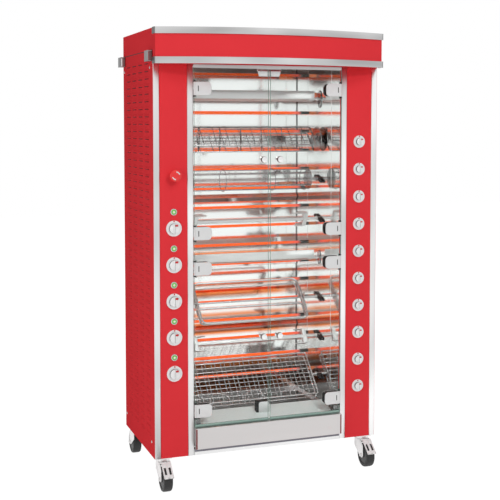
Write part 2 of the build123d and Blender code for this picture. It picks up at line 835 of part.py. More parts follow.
def make_drip_tray():
    """The drawer under the cavity: an open pan behind a folded stainless front."""
    front = block(-tray_half_width, tray_half_width, -tray_proud, -1,
                  tray_bottom, tray_top)
    front -= block(tray_wall - tray_half_width, tray_half_width - tray_wall,
                   tray_wall - tray_proud, -1,
                   tray_bottom + tray_wall, tray_top - tray_wall)
    pan_front = -tray_proud + tray_wall
    pan = block(-tray_body_half, tray_body_half, pan_front, tray_length,
                tray_bottom, tray_body_top)
    pan -= block(tray_wall - tray_body_half, tray_body_half - tray_wall, pan_front,
                 tray_length - tray_wall, tray_bottom + tray_wall, tray_body_top)
    return [front + pan]


def caster_places():
    """Swivel axes of the four casters: front left, front right, rear left, rear right."""
    x = half - swivel_inset_x
    return ((-x, swivel_inset_y), (x, swivel_inset_y),
            (-x, body_depth - swivel_inset_y), (x, body_depth - swivel_inset_y))


def make_fork(x, y, ahead):
    """A pressed swivel fork with its axle, trailing ahead (-1) or behind (1)."""
    crown = upright(x, y, crown_low, crown_top, crown_radius, sides=crown_sides)
    crown -= upright(x, y, -pad_thickness - king_pin_length - 1, crown_top,
                     king_pin_radius + clear_gap, bore=True)
    heel = y - ahead * crown_radius
    axle_y = y + ahead * caster_trail
    outline = [(heel, crown_low), (heel, crown_low - 36), (axle_y - ahead * 15, axle_z - 8),
               (axle_y + ahead * 7, axle_z - 10), (axle_y + ahead * 15, axle_z),
               (axle_y + ahead * 13, axle_z + 42), (y + ahead * 31, crown_low)]
    leg = extrude(Plane.YZ * make_face(Polyline(*outline, close=True)), amount=fork_plate)
    if ahead < 0:
        leg -= across(0, fork_plate, y - pedal_pin_forward, pedal_pin_z,
                      pedal_pin_radius + clear_gap, bore=True)
    near = Pos(x + leg_x, 0, 0) * leg
    far = Pos(x - leg_x - fork_plate, 0, 0) * leg
    bridge = block(x - leg_x - fork_plate, x + leg_x + fork_plate, heel, y + ahead * 21,
                   crown_low - fork_plate, crown_low)
    axle = across(x - leg_x, x + leg_x, axle_y, axle_z, axle_radius)
    outer = leg_x + fork_plate
    nuts = [across(x + outer, x + outer + 4, axle_y, axle_z, axle_nut_radius, sides=6),
            across(x - outer - 4, x - outer, axle_y, axle_z, axle_nut_radius, sides=6)]
    return [crown + bridge + near + far + axle + nuts]


def make_wheel(x, y, ahead):
    """A plain tread wheel with bevelled shoulders, on a plain bore."""
    axle_y = y + ahead * caster_trail
    reach = wheel_width / 2
    wheel = across(x - reach, x + reach, axle_y, axle_z, wheel_radius, sides=wheel_sides)
    sides = wheel.faces().sort_by(Axis.X)
    wheel = chamfer(sides[0].edges() + sides[-1].edges(), wheel_shoulder)
    wheel -= across(x - reach, x + reach, axle_y, axle_z, axle_radius + clear_gap, bore=True)
    return [wheel]


def make_pedal(x, y):
    """The brake pedal over a front wheel: a bent plate with two windows on a cross pin."""
    pin_y = y - pedal_pin_forward
    pin_z = pedal_pin_z
    outline = Polyline((pin_y - 2, pin_z + 3), (pin_y - 17, pin_z + 12), (pin_y - 69, pin_z - 32),
                       (pin_y - 72, pin_z - 38), (pin_y - 69, pin_z - 38),
                       (pin_y - 66, pin_z - 34), (pin_y - 16, pin_z + 8), (pin_y, pin_z),
                       close=True)
    pedal = along_x(outline, pedal_half)
    for side in (-1, 1):
        pedal -= block(side * 5, side * 14, pin_y - 60, pin_y - 42, pin_z - 50, pin_z + 8)
    pedal += across(-pedal_half, pedal_half, pin_y, pin_z, pedal_boss_radius, sides=8)
    reach = leg_x + fork_plate
    pedal += across(-reach, reach, pin_y, pin_z, pedal_pin_radius)
    return [Pos(x, 0, 0) * pedal]


def main():
    os.makedirs("parts", exist_ok=True)
    save("base_frame", make_base_frame())
    left_side = louvred_panel()
    save("left_side_panel", [left_side])
    save("right_side_panel", [mirror(left_side, about=Plane.YZ)])
    save("back_panel", make_back_panel())
    save("roof_cap", make_roof_cap())
    save("canopy_fascia", make_canopy_fascia())
    save("canopy_trims", make_canopy_trims())
    save("column_trims", make_column_trims())
    save("control_panels", make_control_panels())
    save("cavity_liner", make_cavity_liner())
    save("heating_tubes", make_heating_tubes())
    save("spit_motors", make_spit_motors())
    save("spit_bearings", make_spit_bearings())
    save("door_frame_fittings", make_door_frame_fittings())
    save("indicator_lamps", make_lamps())
    save("side_loops", make_side_loops())
    save("stop_button", make_stop_button())
    save("drip_tray", make_drip_tray())
    for name, x, z, radius in knob_places():
        save(name, make_knob(x, z, radius))
    for upper in (True, False):
        row = "upper" if upper else "lower"
        pane = make_door_glass(upper)
        fittings = make_door_fittings(upper)
        save(f"{row}_left_glass", [pane])
        save(f"{row}_right_glass", [mirror(pane, about=Plane.YZ)])
        save(f"{row}_left_door_fittings", fittings)
        save(f"{row}_right_door_fittings", [mirror(s, about=Plane.YZ) for s in fittings])
    levels = list(reversed(spit_levels))
    save("spit_1_blade", make_blade_spit(levels[0], top_blade_disc))
    save("spit_2_basket", grid_basket(levels[1], small_basket_half, small_basket_depth, 45, 3, 7,
                                      small_basket_disc))
    save("spit_3_drum", make_drum_spit(levels[2], drum_radius, drum_rods))
    save("spit_4_fork", make_fork_spit(levels[3], 25))
    save("spit_5_blade", make_blade_spit(levels[4], lower_blade_disc))
    save("spit_6_cage", make_cage_spit(levels[5], -45))
    save("spit_7_fork", make_fork_spit(levels[6], -25))
    save("spit_8_basket", grid_basket(levels[7], large_basket_half, large_basket_depth, 45,
                                      13, 11, 0))
    for i, (x, y) in enumerate(caster_places()):
        corner = ("front_left", "front_right", "rear_left", "rear_right")[i]
        ahead = -1 if i < 2 else 1
        save(f"{corner}_fork", make_fork(x, y, ahead))
        save(f"{corner}_wheel", make_wheel(x, y, ahead))
        if i < 2:
            save(f"{corner}_brake", make_pedal(x, y))


main()
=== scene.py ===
import bpy
import bmesh
import math
from mathutils import Matrix, Vector


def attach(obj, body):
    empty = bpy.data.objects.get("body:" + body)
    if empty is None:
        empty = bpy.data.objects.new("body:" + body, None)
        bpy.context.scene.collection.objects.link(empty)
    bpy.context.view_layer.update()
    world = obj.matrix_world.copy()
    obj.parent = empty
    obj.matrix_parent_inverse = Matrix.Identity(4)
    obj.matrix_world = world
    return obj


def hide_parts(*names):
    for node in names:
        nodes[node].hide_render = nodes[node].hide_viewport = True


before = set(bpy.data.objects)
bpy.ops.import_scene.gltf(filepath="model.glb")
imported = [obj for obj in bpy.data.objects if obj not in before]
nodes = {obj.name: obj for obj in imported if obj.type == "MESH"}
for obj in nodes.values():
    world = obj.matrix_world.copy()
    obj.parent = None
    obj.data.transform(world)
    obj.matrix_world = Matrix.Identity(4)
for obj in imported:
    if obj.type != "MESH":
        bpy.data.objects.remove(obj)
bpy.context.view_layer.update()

# Places are given as in the drawings: millimetres, x across from the middle, y back from the
# cabinet's front plane, z up from the cabinet's underside. Those two planes are in metres.
FRONT_PLANE = -0.215
UNDERSIDE = 0.130
# OPENING and SIDE are half widths, and COLUMN is the middle of a control column. Louvres and
# knobs are given as how many there are, the first one's place and the step to the next.
SPIT_LEVELS = [230 + 174 * i for i in range(8)][::-1]
SPIT_Y = 222
TUBES, FIRST_TUBE, TUBE_STEP, TUBE_Y = 17, 227, 83, 345
CAVITY_FLOOR, CAVITY_ROOF = 112, 1600
OPENING = 322.5
SIDE = 487.5
DEPTH = 505
PANEL_TOP = 1627
LOUVRE_ROWS, LOUVRE_COLUMNS = (51, 76, 30), (4, 67, 103)
HINGES = {"upper": (1480, 902), "lower": (760, 181)}
PIN_X, PIN_Y = 318, -2
COLUMN = 405
ZONE_KNOBS, MOTOR_KNOBS = (5, 341.8, 146), (10, 223.7, 115.75)
LAMP_RISE = 65.5
STOP_LEVEL = 1137
AXLE = -80


def at(x, y, z):
    return Vector((x / 1000, y / 1000 + FRONT_PLANE, z / 1000 + UNDERSIDE))


# Shaping


def bar(mesh, start, end, radius, segments=16, kind=0):
    """A round bar between two places."""
    a, b = at(*start), at(*end)
    run = b - a
    turn = run.to_track_quat("Z", "Y").to_matrix().to_4x4()
    made = bmesh.ops.create_cone(mesh, cap_ends=True, segments=segments, radius1=radius / 1000,
                                 radius2=radius / 1000, depth=run.length,
                                 matrix=Matrix.Translation((a + b) / 2) @ turn)
    paint(made["verts"], kind)
    return made["verts"]


def slab(mesh, low, high, bevel=0.0, segments=2, kind=0):
    """A box between two corners, with its edges eased."""
    a, b = at(*low), at(*high)
    size = Matrix.Diagonal((*(abs(v) for v in b - a), 1))
    made = bmesh.ops.create_cube(mesh, size=1, matrix=Matrix.Translation((a + b) / 2) @ size)
    verts = made["verts"]
    if bevel:
        verts = ease(mesh, edges_of(verts), bevel, segments)
    paint(verts, kind)
    return verts


def edges_of(verts):
    return list(dict.fromkeys(edge for vert in verts for edge in vert.link_edges))


def faces_of(verts):
    return list(dict.fromkeys(face for vert in verts for face in vert.link_faces))


def connected(starts):
    """Every corner that can be reached from these along the edges, in the same order each run."""
    seen, todo = dict.fromkeys(starts), list(starts)
    while todo:
        for edge in todo.pop().link_edges:
            for vert in edge.verts:
                if vert not in seen:
                    seen[vert] = True
                    todo.append(vert)
    return list(seen)


def ease(mesh, edges, width, segments=2):
    """Rounds these edges and gives back every corner of the pieces that they belong to."""
    made = bmesh.ops.bevel(mesh, geom=edges, offset=width / 1000, segments=segments,
                           profile=0.5, affect="EDGES", material=-1)
    return connected(made["verts"])


def paint(verts, kind):
    for face in faces_of(verts):
        face.material_index = kind


def turned(mesh, profile, centre, axis, segments=32, kind=0):
    """A profile of (radius, distance along the axis) pairs turned about that axis."""
    points = [mesh.verts.new((r / 1000, 0, h / 1000)) for r, h in profile]
    edges = [mesh.edges.new(pair) for pair in zip(points, points[1:])]
    bmesh.ops.spin(mesh, geom=points + edges, cent=(0, 0, 0), axis=(0, 0, 1), dvec=(0, 0, 0),
                   angle=math.tau, steps=segments, use_merge=True, use_duplicate=False)
    verts = list(dict.fromkeys([v for v in points if v.is_valid] + connected(points[:1])))
    bmesh.ops.remove_doubles(mesh, verts=verts, dist=1e-6)
    verts = [v for v in verts if v.is_valid]
    turn = Vector(axis).to_track_quat("Z", "Y").to_matrix().to_4x4()
    bmesh.ops.transform(mesh, matrix=Matrix.Translation(at(*centre)) @ turn, verts=verts)
    bmesh.ops.recalc_face_normals(mesh, faces=faces_of(verts))
    paint(verts, kind)
    return verts


def prism(mesh, outline, axis, start, end, bevel=0.0, segments=2, kind=0):
    """An outline of flat places pushed along x, y or z from start to end."""
    def place(p, q, along):
        return at(*{"x": (along, p, q), "y": (p, along, q), "z": (p, q, along)}[axis])

    verts = [mesh.verts.new(place(p, q, start)) for p, q in outline]
    face = mesh.faces.new(verts)
    made = bmesh.ops.extrude_face_region(mesh, geom=[face])
    moved = [v for v in made["geom"] if isinstance(v, bmesh.types.BMVert)]
    bmesh.ops.translate(mesh, vec=place(0, 0, end) - place(0, 0, start), verts=moved)
    verts += moved
    if bevel:
        verts = ease(mesh, edges_of(verts), bevel, segments)
    bmesh.ops.recalc_face_normals(mesh, faces=faces_of(verts))
    paint(verts, kind)
    return verts


def rounded_box(x0, z0, x1, z1, radii, steps=5):
    """A rectangle's outline; radii are for its corners in turn, starting at (x0, z0)."""
    outline = []
    sx = 1 if x1 > x0 else -1
    sz = 1 if z1 > z0 else -1
    corners = ((x0, z0, sx, sz, 180), (x1, z0, -sx, sz, 270), (x1, z1, -sx, -sz, 0),
               (x0, z1, sx, -sz, 90))
    for (x, z, ix, iz, start), radius in zip(corners, radii):
        if not radius:
            outline.append((x, z))
            continue
        for step in range(steps + 1):
            turn = math.radians(start + 90 * step / steps)
            outline.append((x + ix * radius + sx * radius * math.cos(turn),
                            z + iz * radius + sz * radius * math.sin(turn)))
    return outline


def bent(path, corner, closed):
    """The places along a wire, with an arc at each bend."""
    places = [Vector(p) for p in path]
    last = len(places)
    out = []
    for i, spot in enumerate(places):
        if not closed and i in (0, last - 1):
            out.append(spot)
            continue
        before = places[i - 1] - spot
        after = places[(i + 1) % last] - spot
        reach = min(corner, before.length / 2.2, after.length / 2.2)
        a = spot + before.normalized() * reach
        b = spot + after.normalized() * reach
        for step in range(5):
            t = step / 4
            out.append(a.lerp(spot, t).lerp(spot.lerp(b, t), t))
    return out


def wire(mesh, path, radius, closed=False, corner=8.0, kind=0, fine=1):
    """A round wire bent through these places."""
    line = bpy.data.curves.new("wire", "CURVE")
    line.dimensions = "3D"
    line.bevel_depth = radius / 1000
    line.bevel_resolution = fine
    line.use_fill_caps = True
    run = line.splines.new("POLY")
    places = bent(path, corner, closed)
    run.points.add(len(places) - 1)
    for spot, place in zip(run.points, places):
        spot.co = (*at(*place), 1)
    run.use_cyclic_u = closed
    holder = bpy.data.objects.new("wire", line)
    shape = bpy.data.meshes.new_from_object(holder)
    before = len(mesh.faces)
    mesh.from_mesh(shape)
    mesh.faces.ensure_lookup_table()
    for face in mesh.faces[before:]:
        face.material_index = kind
    bpy.data.objects.remove(holder)
    bpy.data.curves.remove(line)
    bpy.data.meshes.remove(shape)


def twist(mesh, verts, centre, degrees):
    """Turns what has been drawn about a level line across the cabinet."""
    bmesh.ops.rotate(mesh, cent=at(*centre), verts=verts,
                     matrix=Matrix.Rotation(math.radians(degrees), 3, "X"))


def placed(name, data):
    """A new object in the scene."""
    made = bpy.data.objects.new(name, data)
    bpy.context.scene.collection.objects.link(made)
    return made


def piece(name, mesh, finishes, body, stands_for, smooth=35):
    """Closes a mesh into a finished piece that rides on a body; kind 0 takes the first finish."""
    data = bpy.data.meshes.new(name)
    mesh.to_mesh(data)
    mesh.free()
    for finish in finishes.split():
        data.materials.append(FINISHES[finish])
    data.shade_smooth()
    data.set_sharp_from_angle(angle=math.radians(smooth))
    made = placed(name, data)
    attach(made, body)
    if stands_for:
        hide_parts(*stands_for)


# Finishes


def tone(colour):
    """A grey's one number or a colour's three, as the four that a shader takes."""
    return (*colour, 1) if isinstance(colour, tuple) else (colour, colour, colour, 1)


def fill(tree, node, inputs):
    """Gives each named input its value, or the output that feeds it."""
    for label, value in inputs.items():
        if isinstance(value, bpy.types.NodeSocket):
            tree.links.new(value, node.inputs[label])
        else:
            node.inputs[label].default_value = value


def add(tree, kind, inputs=None, **settings):
    """A shader node; its settings come first, because some of them choose its sockets."""
    made = tree.nodes.new("ShaderNode" + kind)
    for label, value in settings.items():
        setattr(made, label, value)
    fill(tree, made, inputs or {})
    return made


def calc(tree, operation, *values, clamp=False):
    return add(tree, "Math", dict(enumerate(values)), operation=operation,
               use_clamp=clamp).outputs[0]


def ranged(tree, value, low, high, to_low=0.0, to_high=1.0):
    """What lies between low and high, carried over to another range."""
    return add(tree, "MapRange", {"Value": value, "From Min": low, "From Max": high,
                                  "To Min": to_low, "To Max": to_high}).outputs["Result"]


def blend(tree, share, a, b, way="MIX"):
    return add(tree, "Mix", {"Factor": share, "A": a, "B": b}, data_type="RGBA",
               blend_type=way).outputs["Result"]


def spot_on(tree):
    return add(tree, "TexCoord").outputs["Object"]


def split_spot(tree):
    return add(tree, "SeparateXYZ", {0: spot_on(tree)}).outputs


def noise(tree, spot, scale, detail):
    return add(tree, "TexNoise", {"Vector": spot, "Scale": scale,
                                  "Detail": detail}).outputs["Fac"]


def group(name, inputs):
    """A shader group with these inputs that gives a colour, a roughness and a height."""
    made = bpy.data.node_groups.new(name, "ShaderNodeTree")
    for label, value in inputs.items():
        kind = {3: "Vector", 4: "Color"}[len(value)] if isinstance(value, tuple) else "Float"
        socket = made.interface.new_socket(name=label, in_out="INPUT",
                                           socket_type="NodeSocket" + kind)
        socket.default_value = value
    for label, kind in (("Colour", "Color"), ("Roughness", "Float"), ("Height", "Float")):
        made.interface.new_socket(name=label, in_out="OUTPUT", socket_type="NodeSocket" + kind)
    return made, made.nodes.new("NodeGroupInput").outputs, made.nodes.new("NodeGroupOutput")


def brushed_grain():
    """Fine streaks along one direction, with broad light and dark bands that are painted
    reflections.
    """
    tree, given, out = group("brushed_grain", {
        "Across": (900, 900, 6), "Bands": (12, 12, 0.8), "Light": tone(0.8), "Dark": tone(0.6),
        "Grain": 0.35, "Contrast": 1.0, "Base Roughness": 0.3, "Roughness Spread": 0.16})

    def stretched(label, detail):
        spot = add(tree, "VectorMath", {0: spot_on(tree), 1: given[label]}, operation="MULTIPLY")
        return noise(tree, spot.outputs[0], 1, detail)

    fine, broad = stretched("Across", 2), stretched("Bands", 1)
    # The broad bands are painted reflections; Contrast sets how strong they are.
    bands = calc(tree, "MULTIPLY_ADD", calc(tree, "SUBTRACT", broad, 0.5), given["Contrast"], 0.5)
    streaks = calc(tree, "MULTIPLY_ADD", calc(tree, "SUBTRACT", fine, 0.5), given["Grain"], bands,
                   clamp=True)
    fill(tree, out, {"Colour": blend(tree, streaks, given["Dark"], given["Light"]),
                     "Roughness": calc(tree, "MULTIPLY_ADD", fine, given["Roughness Spread"],
                                       given["Base Roughness"]),
                     "Height": fine})
    return tree


def surface_drift():
    """Slow changes of tone and gloss with a fine ripple, as on paint and moulded parts."""
    tree, given, out = group("surface_drift", {
        "Scale": 6.0, "Ripple Scale": 400.0, "Light": tone(0.8), "Dark": tone(0.6),
        "Low Roughness": 0.3, "High Roughness": 0.4})
    drift = noise(tree, spot_on(tree), given["Scale"], 3)
    fill(tree, out, {"Colour": blend(tree, drift, given["Dark"], given["Light"]),
                     "Roughness": ranged(tree, drift, 0, 1, given["Low Roughness"],
                                         given["High Roughness"]),
                     "Height": noise(tree, spot_on(tree), given["Ripple Scale"], 1)})
    return tree


GRAIN = brushed_grain()
DRIFT = surface_drift()
FINISHES = {}


def new_material(name):
    FINISHES[name] = bpy.data.materials.new(name)
    FINISHES[name].use_nodes = True
    tree = FINISHES[name].node_tree
    return tree, tree.nodes["Principled BSDF"]


def bumps(tree, height, strength, distance):
    return add(tree, "Bump", {"Strength": strength, "Distance": distance,
                              "Height": height}).outputs["Normal"]


def brushed_steel(name, across, bands, light, dark, roughness, spread=0.16, grain_depth=0.35,
                  contrast=2.6, metallic=1.0, bump=0.12, ends=None, end_tone_and_shade=0.22):
    """Steel with streaks; farther out across than ends, in metres, it takes the end tone: painted
    shade on the canopy trims' returns, the outer faces' own grey on the side loops.
    """
    tree, shader = new_material(name)
    grain = add(tree, "Group", {"Across": across, "Bands": bands, "Light": tone(light),
                                "Dark": tone(dark), "Grain": grain_depth, "Contrast": contrast,
                                "Base Roughness": roughness, "Roughness Spread": spread},
                node_tree=GRAIN).outputs
    colour = grain["Colour"]
    if ends:
        off = calc(tree, "ABSOLUTE", split_spot(tree)["X"])
        colour = blend(tree, ranged(tree, off, ends, ends + 0.0008), colour, tone(end_tone_and_shade))
    fill(tree, shader, {"Base Color": colour, "Roughness": grain["Roughness"],
                        "Metallic": metallic,
                        "Normal": bumps(tree, grain["Height"], bump, 0.0002)})


def coated(name, light, dark, low, high, metallic=0.0, scale=6.0, bump=0.05, coat=0.0,
           specular=0.5):
    """Paint, plastic, rubber or plating, between two tones and two roughnesses."""
    tree, shader = new_material(name)
    drift = add(tree, "Group", {"Scale": scale, "Ripple Scale": 400.0, "Light": tone(light),
                                "Dark": tone(dark), "Low Roughness": low, "High Roughness": high},
                node_tree=DRIFT).outputs
    fill(tree, shader, {"Base Color": drift["Colour"], "Roughness": drift["Roughness"],
                        "Metallic": metallic, "Coat Weight": coat, "Coat Roughness": 0.1,
                        "Specular IOR Level": specular,
                        "Normal": bumps(tree, drift["Height"], bump, 0.0003)})


def painted_tube_reflection(name, bands):
    """Painted reflection of the glowing tubes: warm bands along the rear wall, as polished steel
    shows behind them.
    """
    tree = FINISHES[name].node_tree
    colour = tree.nodes["Principled BSDF"].inputs["Base Color"]
    plain = colour.links[0].from_socket
    spot = split_spot(tree)
    reach = 2.0
    ramp = add(tree, "ValToRGB", {"Fac": ranged(tree, spot["Z"], 0, reach)})
    stops = ramp.color_ramp.elements
    stops[0].color = stops[1].color = tone(0)
    for low, high, depth in bands:
        for place, value in ((low - 5, 0), ((low + high) / 2, depth), (high + 5, 0)):
            stops.new((place / 1000 + UNDERSIDE) / reach).color = tone(value)
    flat = calc(tree, "MULTIPLY", ramp.outputs["Color"], 2.2, clamp=True)
    rear = ranged(tree, spot["Y"], 0.225, 0.245)
    fade = ranged(tree, calc(tree, "ABSOLUTE", spot["X"]), 0.22, 0.33, 1.0, 0.35)
    mask = calc(tree, "MULTIPLY", calc(tree, "MULTIPLY", flat, rear), fade)
    tree.links.new(blend(tree, mask, plain, (0.82, 0.25, 0.08, 1)), colour)


def mirrored(tree):
    """One for what is seen in a polished wall, none for what is seen straight or through glass."""
    path = add(tree, "LightPath").outputs
    return calc(tree, "SUBTRACT", path["Is Glossy Ray"], path["Is Transmission Ray"], clamp=True)


def painted_reflected_glow(name, colour, strength):
    """Painted glow: the polished walls show a warm glow where these parts stand, though they are no
    lamps.
    """
    tree = FINISHES[name].node_tree
    fill(tree, tree.nodes["Principled BSDF"],
         {"Emission Color": colour,
          "Emission Strength": calc(tree, "MULTIPLY", mirrored(tree), strength)})


def surface_of_two(tree, share, first, second):
    mix = add(tree, "MixShader", {"Fac": share, 1: first.outputs[0], 2: second.outputs[0]})
    tree.links.new(mix.outputs[0], tree.nodes["Material Output"].inputs["Surface"])


def clear_glass():
    """Glass for the eye and the mirrors; shadows and scattered light pass straight through."""
    tree, shader = new_material("door_glass")
    fill(tree, shader, {"Base Color": (0.985, 0.997, 0.992, 1), "Roughness": 0.0, "IOR": 1.12,
                        "Transmission Weight": 1.0})
    clear = add(tree, "BsdfTransparent", {"Color": (0.95, 0.98, 0.965, 1)})
    path = add(tree, "LightPath").outputs
    straight = calc(tree, "MAXIMUM", path["Is Shadow Ray"], path["Is Diffuse Ray"])
    surface_of_two(tree, straight, shader, clear)


def glowing_quartz(name, strength):
    """Orange along the tube, dull at the ends and mottled where the coil is denser."""
    tree, shader = new_material(name)
    off = calc(tree, "ABSOLUTE", split_spot(tree)["X"])
    ramp = add(tree, "ValToRGB", {"Fac": off})
    stops = ramp.color_ramp.elements
    stops[0].color = (0.94, 0.12, 0.018, 1)
    stops[1].position, stops[1].color = 0.286, (0.16, 0.10, 0.10, 1)
    stops.new(0.21).color = (0.92, 0.125, 0.03, 1)
    stops.new(0.262).color = (0.82, 0.13, 0.08, 1)
    coil = add(tree, "TexNoise", {"Vector": spot_on(tree), "Scale": 30}).outputs["Color"]
    glow = blend(tree, 0.25, ramp.outputs["Color"], coil, "MULTIPLY")
    seen = ranged(tree, mirrored(tree), 0, 1, strength, strength * 0.85)
    cast = ranged(tree, add(tree, "LightPath").outputs["Is Diffuse Ray"], 0, 1, 1.0, 0.25)
    fill(tree, shader, {"Emission Color": glow, "Base Color": glow, "Roughness": 0.2,
                        "Specular IOR Level": 0.2,
                        "Emission Strength": calc(tree, "MULTIPLY", seen, cast)})
    FINISHES[name].cycles.emission_sampling = "NONE"


def slot_shade():
    """Painted shade in the louvres' mouths: deep red, darker towards the roof."""
    tree, shader = new_material("louvre_slot")
    height = ranged(tree, split_spot(tree)["Z"], 0.3, 1.45)
    fill(tree, shader, {"Roughness": 0.6, "Specular IOR Level": 0.05,
                        "Base Color": blend(tree, height, (0.50, 0.022, 0.030, 1),
                                            (0.15, 0.010, 0.014, 1))})


coated("red_paint", (0.83, 0.048, 0.058), (0.79, 0.043, 0.053), 0.36, 0.44, specular=0.0)
# Painted shade on red parts: the gap beside the drip tray and the line under the lintel.
coated("dark_red", (0.22, 0.012, 0.014), (0.16, 0.008, 0.010), 0.4, 0.5)
brushed_steel("upright_steel", (900, 900, 5), (6, 6, 2.3), 0.97, 0.60, 0.26, grain_depth=0.2)
brushed_steel("rear_steel", (900, 900, 5), (2, 2, 1), 0.74, 0.64, 0.34, contrast=1.0)
# Past 488.5 mm out, the canopy trims' returns take a painted shade.
brushed_steel("level_steel", (5, 900, 900), (3.2, 3, 16), 0.77, 0.40, 0.26, grain_depth=0.15,
              contrast=2.2, ends=0.4885)
brushed_steel("frame_steel", (5, 900, 900), (1.5, 40, 40), 0.90, 0.76, 0.3)
# Painted shade: next to the panel, within 490 mm of the middle, the side loops are dark red, the
# red panel in their shade; farther out they are their own grey.
brushed_steel("loop_shade_and_steel", (900, 900, 5), (20, 20, 20), (0.32, 0.016, 0.020), (0.20, 0.010, 0.012),
              0.3, ends=0.4900, end_tone_and_shade=0.44)
brushed_steel("liner_steel", (4, 4, 300), (2, 2, 3), (0.93, 0.945, 0.935), (0.87, 0.885, 0.875),
              0.07, spread=0.05, grain_depth=0.2, contrast=1.0, bump=0.025)
brushed_steel("apron_steel", (4, 300, 300), (3, 8, 8), (0.95, 0.99, 0.99), (0.92, 0.97, 0.97),
              0.4, spread=0.06, grain_depth=0.2, contrast=1.0, metallic=0.0, bump=0.02)
coated("blade_steel", 0.86, 0.76, 0.28, 0.36, metallic=0.4, scale=14, bump=0.02)
coated("wire_dark", 0.46, 0.30, 0.10, 0.18, metallic=1.0, scale=40, bump=0.02)
coated("wire_light", 0.74, 0.60, 0.22, 0.30, metallic=0.6, scale=40, bump=0.02)
coated("plate_steel", 0.52, 0.30, 0.08, 0.16, metallic=1.0, scale=14, bump=0.02)
coated("chrome", 0.86, 0.78, 0.05, 0.12, metallic=1.0, bump=0.01)
coated("hinge_steel", 0.74, 0.70, 0.34, 0.4, metallic=0.5, bump=0.02)
coated("gasket_rubber", 0.022, 0.012, 0.55, 0.7)
coated("wheel_black", 0.028, 0.014, 0.5, 0.65, scale=20)
coated("caster_zinc", (0.90, 0.88, 0.88), (0.76, 0.74, 0.74), 0.3, 0.42, metallic=0.9, scale=25)
coated("pedal_grey", (0.92, 0.90, 0.90), (0.84, 0.81, 0.81), 0.35, 0.45, scale=20)
coated("knob_silver", 0.90, 0.84, 0.32, 0.40, metallic=0.3, scale=30)
coated("knob_core", 0.93, 0.87, 0.28, 0.36, metallic=0.3, scale=30)
coated("red_mark", (0.62, 0.02, 0.02), (0.55, 0.015, 0.015), 0.35, 0.4)
coated("stop_red", (0.90, 0.035, 0.035), (0.82, 0.028, 0.028), 0.22, 0.3)
coated("white_mark", 0.85, 0.78, 0.4, 0.5)
coated("lamp_lens", (0.22, 0.62, 0.10), (0.16, 0.52, 0.07), 0.12, 0.2, coat=0.4)
coated("ceramic", (0.12, 0.125, 0.115), (0.08, 0.085, 0.08), 0.6, 0.8, scale=40)
coated("machine_grey", 0.30, 0.22, 0.45, 0.6, metallic=0.4)
coated("dog_black", 0.035, 0.02, 0.4, 0.55)
# Painted shade for the seam under the roof.
coated("gap_dark", (0.10, 0.008, 0.010), (0.05, 0.004, 0.005), 0.6, 0.7)
brushed_steel("lintel_steel", (5, 900, 900), (2, 40, 40), 0.60, 0.44, 0.3)
brushed_steel("tray_steel", (5, 700, 700), (1.2, 20, 20), (0.68, 0.655, 0.65), (0.62, 0.60, 0.595),
              0.34, contrast=1.0)
coated("tray_inside", 0.55, 0.42, 0.3, 0.4, metallic=0.5, scale=12)
# Painted shade for the slit along the reflector's edges.
coated("slit_dark", 0.08, 0.05, 0.6, 0.7)
coated("rest_grey", 0.26, 0.16, 0.3, 0.4, metallic=0.9, scale=20)
coated("seam_pale", 0.85, 0.75, 0.25, 0.35, metallic=0.8)
coated("tube_cap", 0.20, 0.14, 0.3, 0.4, metallic=1.0)
coated("sill_teal", (0.30, 0.42, 0.37), (0.24, 0.35, 0.31), 0.2, 0.3, coat=0.3)
# Painted shade for the slot under the sill's lip.
coated("slot_grey", (0.27, 0.26, 0.30), (0.22, 0.21, 0.25), 0.4, 0.5)
coated("sill_light", (0.70, 0.84, 0.78), (0.62, 0.76, 0.70), 0.3, 0.4)
coated("glass_edge", (0.30, 0.45, 0.39), (0.23, 0.37, 0.32), 0.15, 0.25, coat=0.5)
coated("catch_plate", 0.66, 0.58, 0.2, 0.28, metallic=0.9)
# Painted shade on the door knobs' sides.
coated("knob_rim", 0.34, 0.24, 0.12, 0.2, metallic=1.0)
coated("knob_shade", 0.16, 0.10, 0.35, 0.45, metallic=0.3)
coated("hub_grey", 0.075, 0.05, 0.45, 0.55, scale=30)
coated("lamp_bezel", 0.70, 0.62, 0.2, 0.3, metallic=0.8)
coated("lamp_glow", (0.92, 0.95, 0.80), (0.86, 0.92, 0.70), 0.2, 0.3)
slot_shade()
clear_glass()
glowing_quartz("glowing_quartz", 0.8)
glowing_quartz("dim_quartz", 0.18)

# Where the painted reflection of the lower tubes lies on the rear wall: from and to, and how
# strongly.
painted_tube_reflection("liner_steel", ((110, 176, 0.85), (194, 215, 0.5), (225, 253, 0.75), (381, 406, 0.6),
                          (416, 439, 0.7), (462, 485, 0.5), (555, 596, 0.75), (603, 624, 0.45),
                          (749, 762, 0.6)))
# The ceramic tube ends carry a painted glow, seen only in the polished walls.
painted_reflected_glow("ceramic", (0.74, 0.17, 0.05, 1), 0.6)

for node, finish in (("roof_cap", "red_paint"), ("canopy_fascia", "red_paint"),
                     ("control_panels", "red_paint"), ("base_frame", "frame_steel"),
                     ("canopy_trims", "level_steel"), ("back_panel", "rear_steel"),
                     ("side_loops", "loop_shade_and_steel"), ("cavity_liner", "liner_steel"),
                     ("spit_motors", "machine_grey"), ("spit_bearings", "machine_grey")):
    worn = nodes[node].data.materials
    worn.clear()
    worn.append(FINISHES[finish])


# Cabinet


